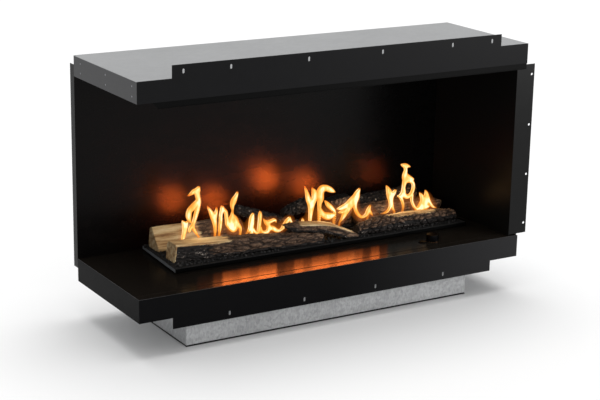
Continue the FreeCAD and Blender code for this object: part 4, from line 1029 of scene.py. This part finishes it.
studio = {
    "ambient": 0.655, "floorTone": 0.895, "floorSize": 60,
    "sun": {"place": (2, -1, 4), "towards": (-0.14, -0.14, -0.98), "strength": 1.74, "soft": 0.90},
    "side": {"place": (1.5, -1.5, 0.9), "target": (0.5, -0.2, 0.4), "size": 0.9, "power": 18},
}
fireLight = {
    "colour": (1.0, 0.74, 0.42), "radius": 0.020,
    "lamps": [(-0.335, 0.008, 0.275, 0.085), (-0.235, 0.020, 0.262, 0.065), (-0.110, 0.015, 0.248, 0.06),
              (0.055, 0.010, 0.262, 0.13), (0.175, 0.010, 0.248, 0.12), (0.295, 0.008, 0.248, 0.12),
              (0.360, 0.006, 0.256, 0.11), (0.430, 0.008, 0.240, 0.07)],
    # glows that only the polished walls mirror
    "glowColour": (1.0, 0.14, 0.018), "glowRadius": 0.034,
    "glows": [(-0.262, 0.040, 0.252, 3.5), (-0.129, 0.040, 0.234, 4.1), (0.045, 0.040, 0.276, 5.6),
              (0.180, 0.040, 0.243, 4.0), (0.420, 0.040, 0.250, 0.5)],
    # the fire's reflection in the hearth floor: its brightness from left to right,
    # and (height, tall, power) of each row
    "bandColour": (1.0, 0.20, 0.035), "bandDepth": -0.0605,
    "bandStart": -0.352, "bandWidth": 0.028, "bandSpread": 1.7,
    "bands": [0.3, 2, 10, 8, 12, 8, 12, 12, 2, 3, 9, 5, 10, 10, 6, 10, 9, 6, 2, 6, 1],
    "bandRows": [(0.217, 0.010, 0.0095), (0.204, 0.012, 0.0032), (0.190, 0.013, 0.0015)],
    "sheen": {"place": (0.290, -0.0605, 0.202), "wide": 0.18, "tall": 0.036, "power": 0.0042,
              "colour": (0.96, 1.0, 0.97)},
}


def seenMask(wire):
    # 1 for what the camera, a mirror or a glass sees
    path = wire.node("ShaderNodeLightPath")
    rays = [Wire(wire.tree, path.socket.node.outputs[name]) for name in
            ("Is Camera Ray", "Is Glossy Ray", "Is Transmission Ray")]
    return (rays[0] + rays[1] + rays[2]).held()


world = bpy.data.worlds.new("studio")
bpy.context.scene.world = world
world.use_nodes = True
world.node_tree.nodes.clear()
wire = Wire(world.node_tree)
seen = seenMask(wire)
strength = studio["ambient"] + seen * (1 - studio["ambient"])
sky = wire.node("ShaderNodeBackground", None, {"Color": (1, 1, 1, 1), "Strength": strength})
wire.node("ShaderNodeOutputWorld", None, {"Surface": sky})

bpy.ops.object.select_all(action="DESELECT")
bpy.ops.mesh.primitive_plane_add(size=studio["floorSize"], location=(0, 0, 0))
floor = bpy.context.object
floor.name = "studio_floor"
material, wire = newFinish("studio_floor")
wire.surface({
    "Base Color": (studio["floorTone"],) * 3 + (1,),
    "Roughness": 1.0,
    "Specular IOR Level": 0.0,
})
floor.data.materials.append(material)
floor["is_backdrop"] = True


def addLamp(name, kind, place, towards=None):
    holder = newObject(name, bpy.data.lights.new(name, kind))
    holder.location = place
    if towards:
        holder.rotation_euler = Vector(towards).to_track_quat("-Z", "Y").to_euler()
    holder.visible_camera = False
    return holder


def onlyOn(name, *pieces):
    # the pieces that a lamp reaches
    group = bpy.data.collections.get(name) or bpy.data.collections.new(name)
    for piece in pieces:
        if piece not in group.objects:
            group.objects.link(bpy.data.objects[piece])
    return group


look = studio["sun"]
sun = addLamp("sun", "SUN", look["place"], look["towards"])
sun.data.energy = look["strength"]
sun.data.angle = look["soft"]
sun.visible_glossy = False
look = studio["side"]
side = addLamp("side", "AREA", look["place"], Vector(look["target"]) - Vector(look["place"]))
side.data.size = look["size"]
side.data.energy = look["power"]
side.light_linking.receiver_collection = onlyOn("all_but_floor", "studio_floor")
side.light_linking.receiver_collection.collection_objects[0].light_linking.link_state = "EXCLUDE"


def addFire(name, place, power, colour, radius):
    fire = addLamp(name, "POINT", place)
    fire.data.energy = power
    fire.data.color = colour
    fire.data.shadow_soft_size = radius
    return fire


for number, (x, y, z, power) in enumerate(fireLight["lamps"]):
    fire = addFire(f"fire_{number}", (x, y, z), power, fireLight["colour"], fireLight["radius"])
    fire.visible_glossy = False
for number, (x, y, z, power) in enumerate(fireLight["glows"]):
    glow = addFire(f"glow_{number}", (x, y, z), power, fireLight["glowColour"], fireLight["glowRadius"])
    glow.visible_diffuse = False
    glow.data.use_shadow = False
    glow.data.cycles.use_multiple_importance_sampling = False
    glow.light_linking.receiver_collection = onlyOn("wall_shine", "back_panel_sheet")


def addShine(name, place, wide, tall, power, colour):
    # a strip of light that only the hearth floor mirrors
    shine = addLamp(name, "AREA", place, (0, -1, 0))
    shine.data.shape = "RECTANGLE"
    shine.data.size = wide
    shine.data.size_y = tall
    shine.data.energy = power
    shine.data.color = colour
    shine.visible_diffuse = False
    shine.light_linking.receiver_collection = onlyOn("floor_shine", "hearth_floor")


bandWidth = fireLight["bandWidth"]
for number, share in enumerate(fireLight["bands"]):
    for height, tall, power in fireLight["bandRows"]:
        place = (fireLight["bandStart"] + bandWidth * number, fireLight["bandDepth"], height)
        addShine(f"band_{number}", place, bandWidth * fireLight["bandSpread"], tall, power * share,
                 fireLight["bandColour"])
addShine("sheen", **fireLight["sheen"])

viewpoint = {"place": (-2.2531, -3.6738, 1.5226), "target": (-0.14918, -0.204, 0.36617),
             "roll": 0.01844838, "lens": 96.786, "sensor": 36, "farthest": 100}
camera = newObject("camera", bpy.data.cameras.new("camera"))
back = (Vector(viewpoint["place"]) - Vector(viewpoint["target"])).normalized()
right = Vector((0, 0, 1)).cross(back).normalized()
upright = back.cross(right)
turnedRight = right * math.cos(viewpoint["roll"]) + upright * math.sin(viewpoint["roll"])
turnedUp = upright * math.cos(viewpoint["roll"]) - right * math.sin(viewpoint["roll"])
camera.matrix_world = Matrix.Translation(Vector(viewpoint["place"])) @ Matrix(
    (turnedRight, turnedUp, back)).transposed().to_4x4()
camera.data.lens = viewpoint["lens"]
camera.data.sensor_width = viewpoint["sensor"]
camera.data.clip_end = viewpoint["farthest"]
bpy.context.scene.camera = camera
bpy.context.scene.view_settings.view_transform = "Standard"
print("light and camera set")

low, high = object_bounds()
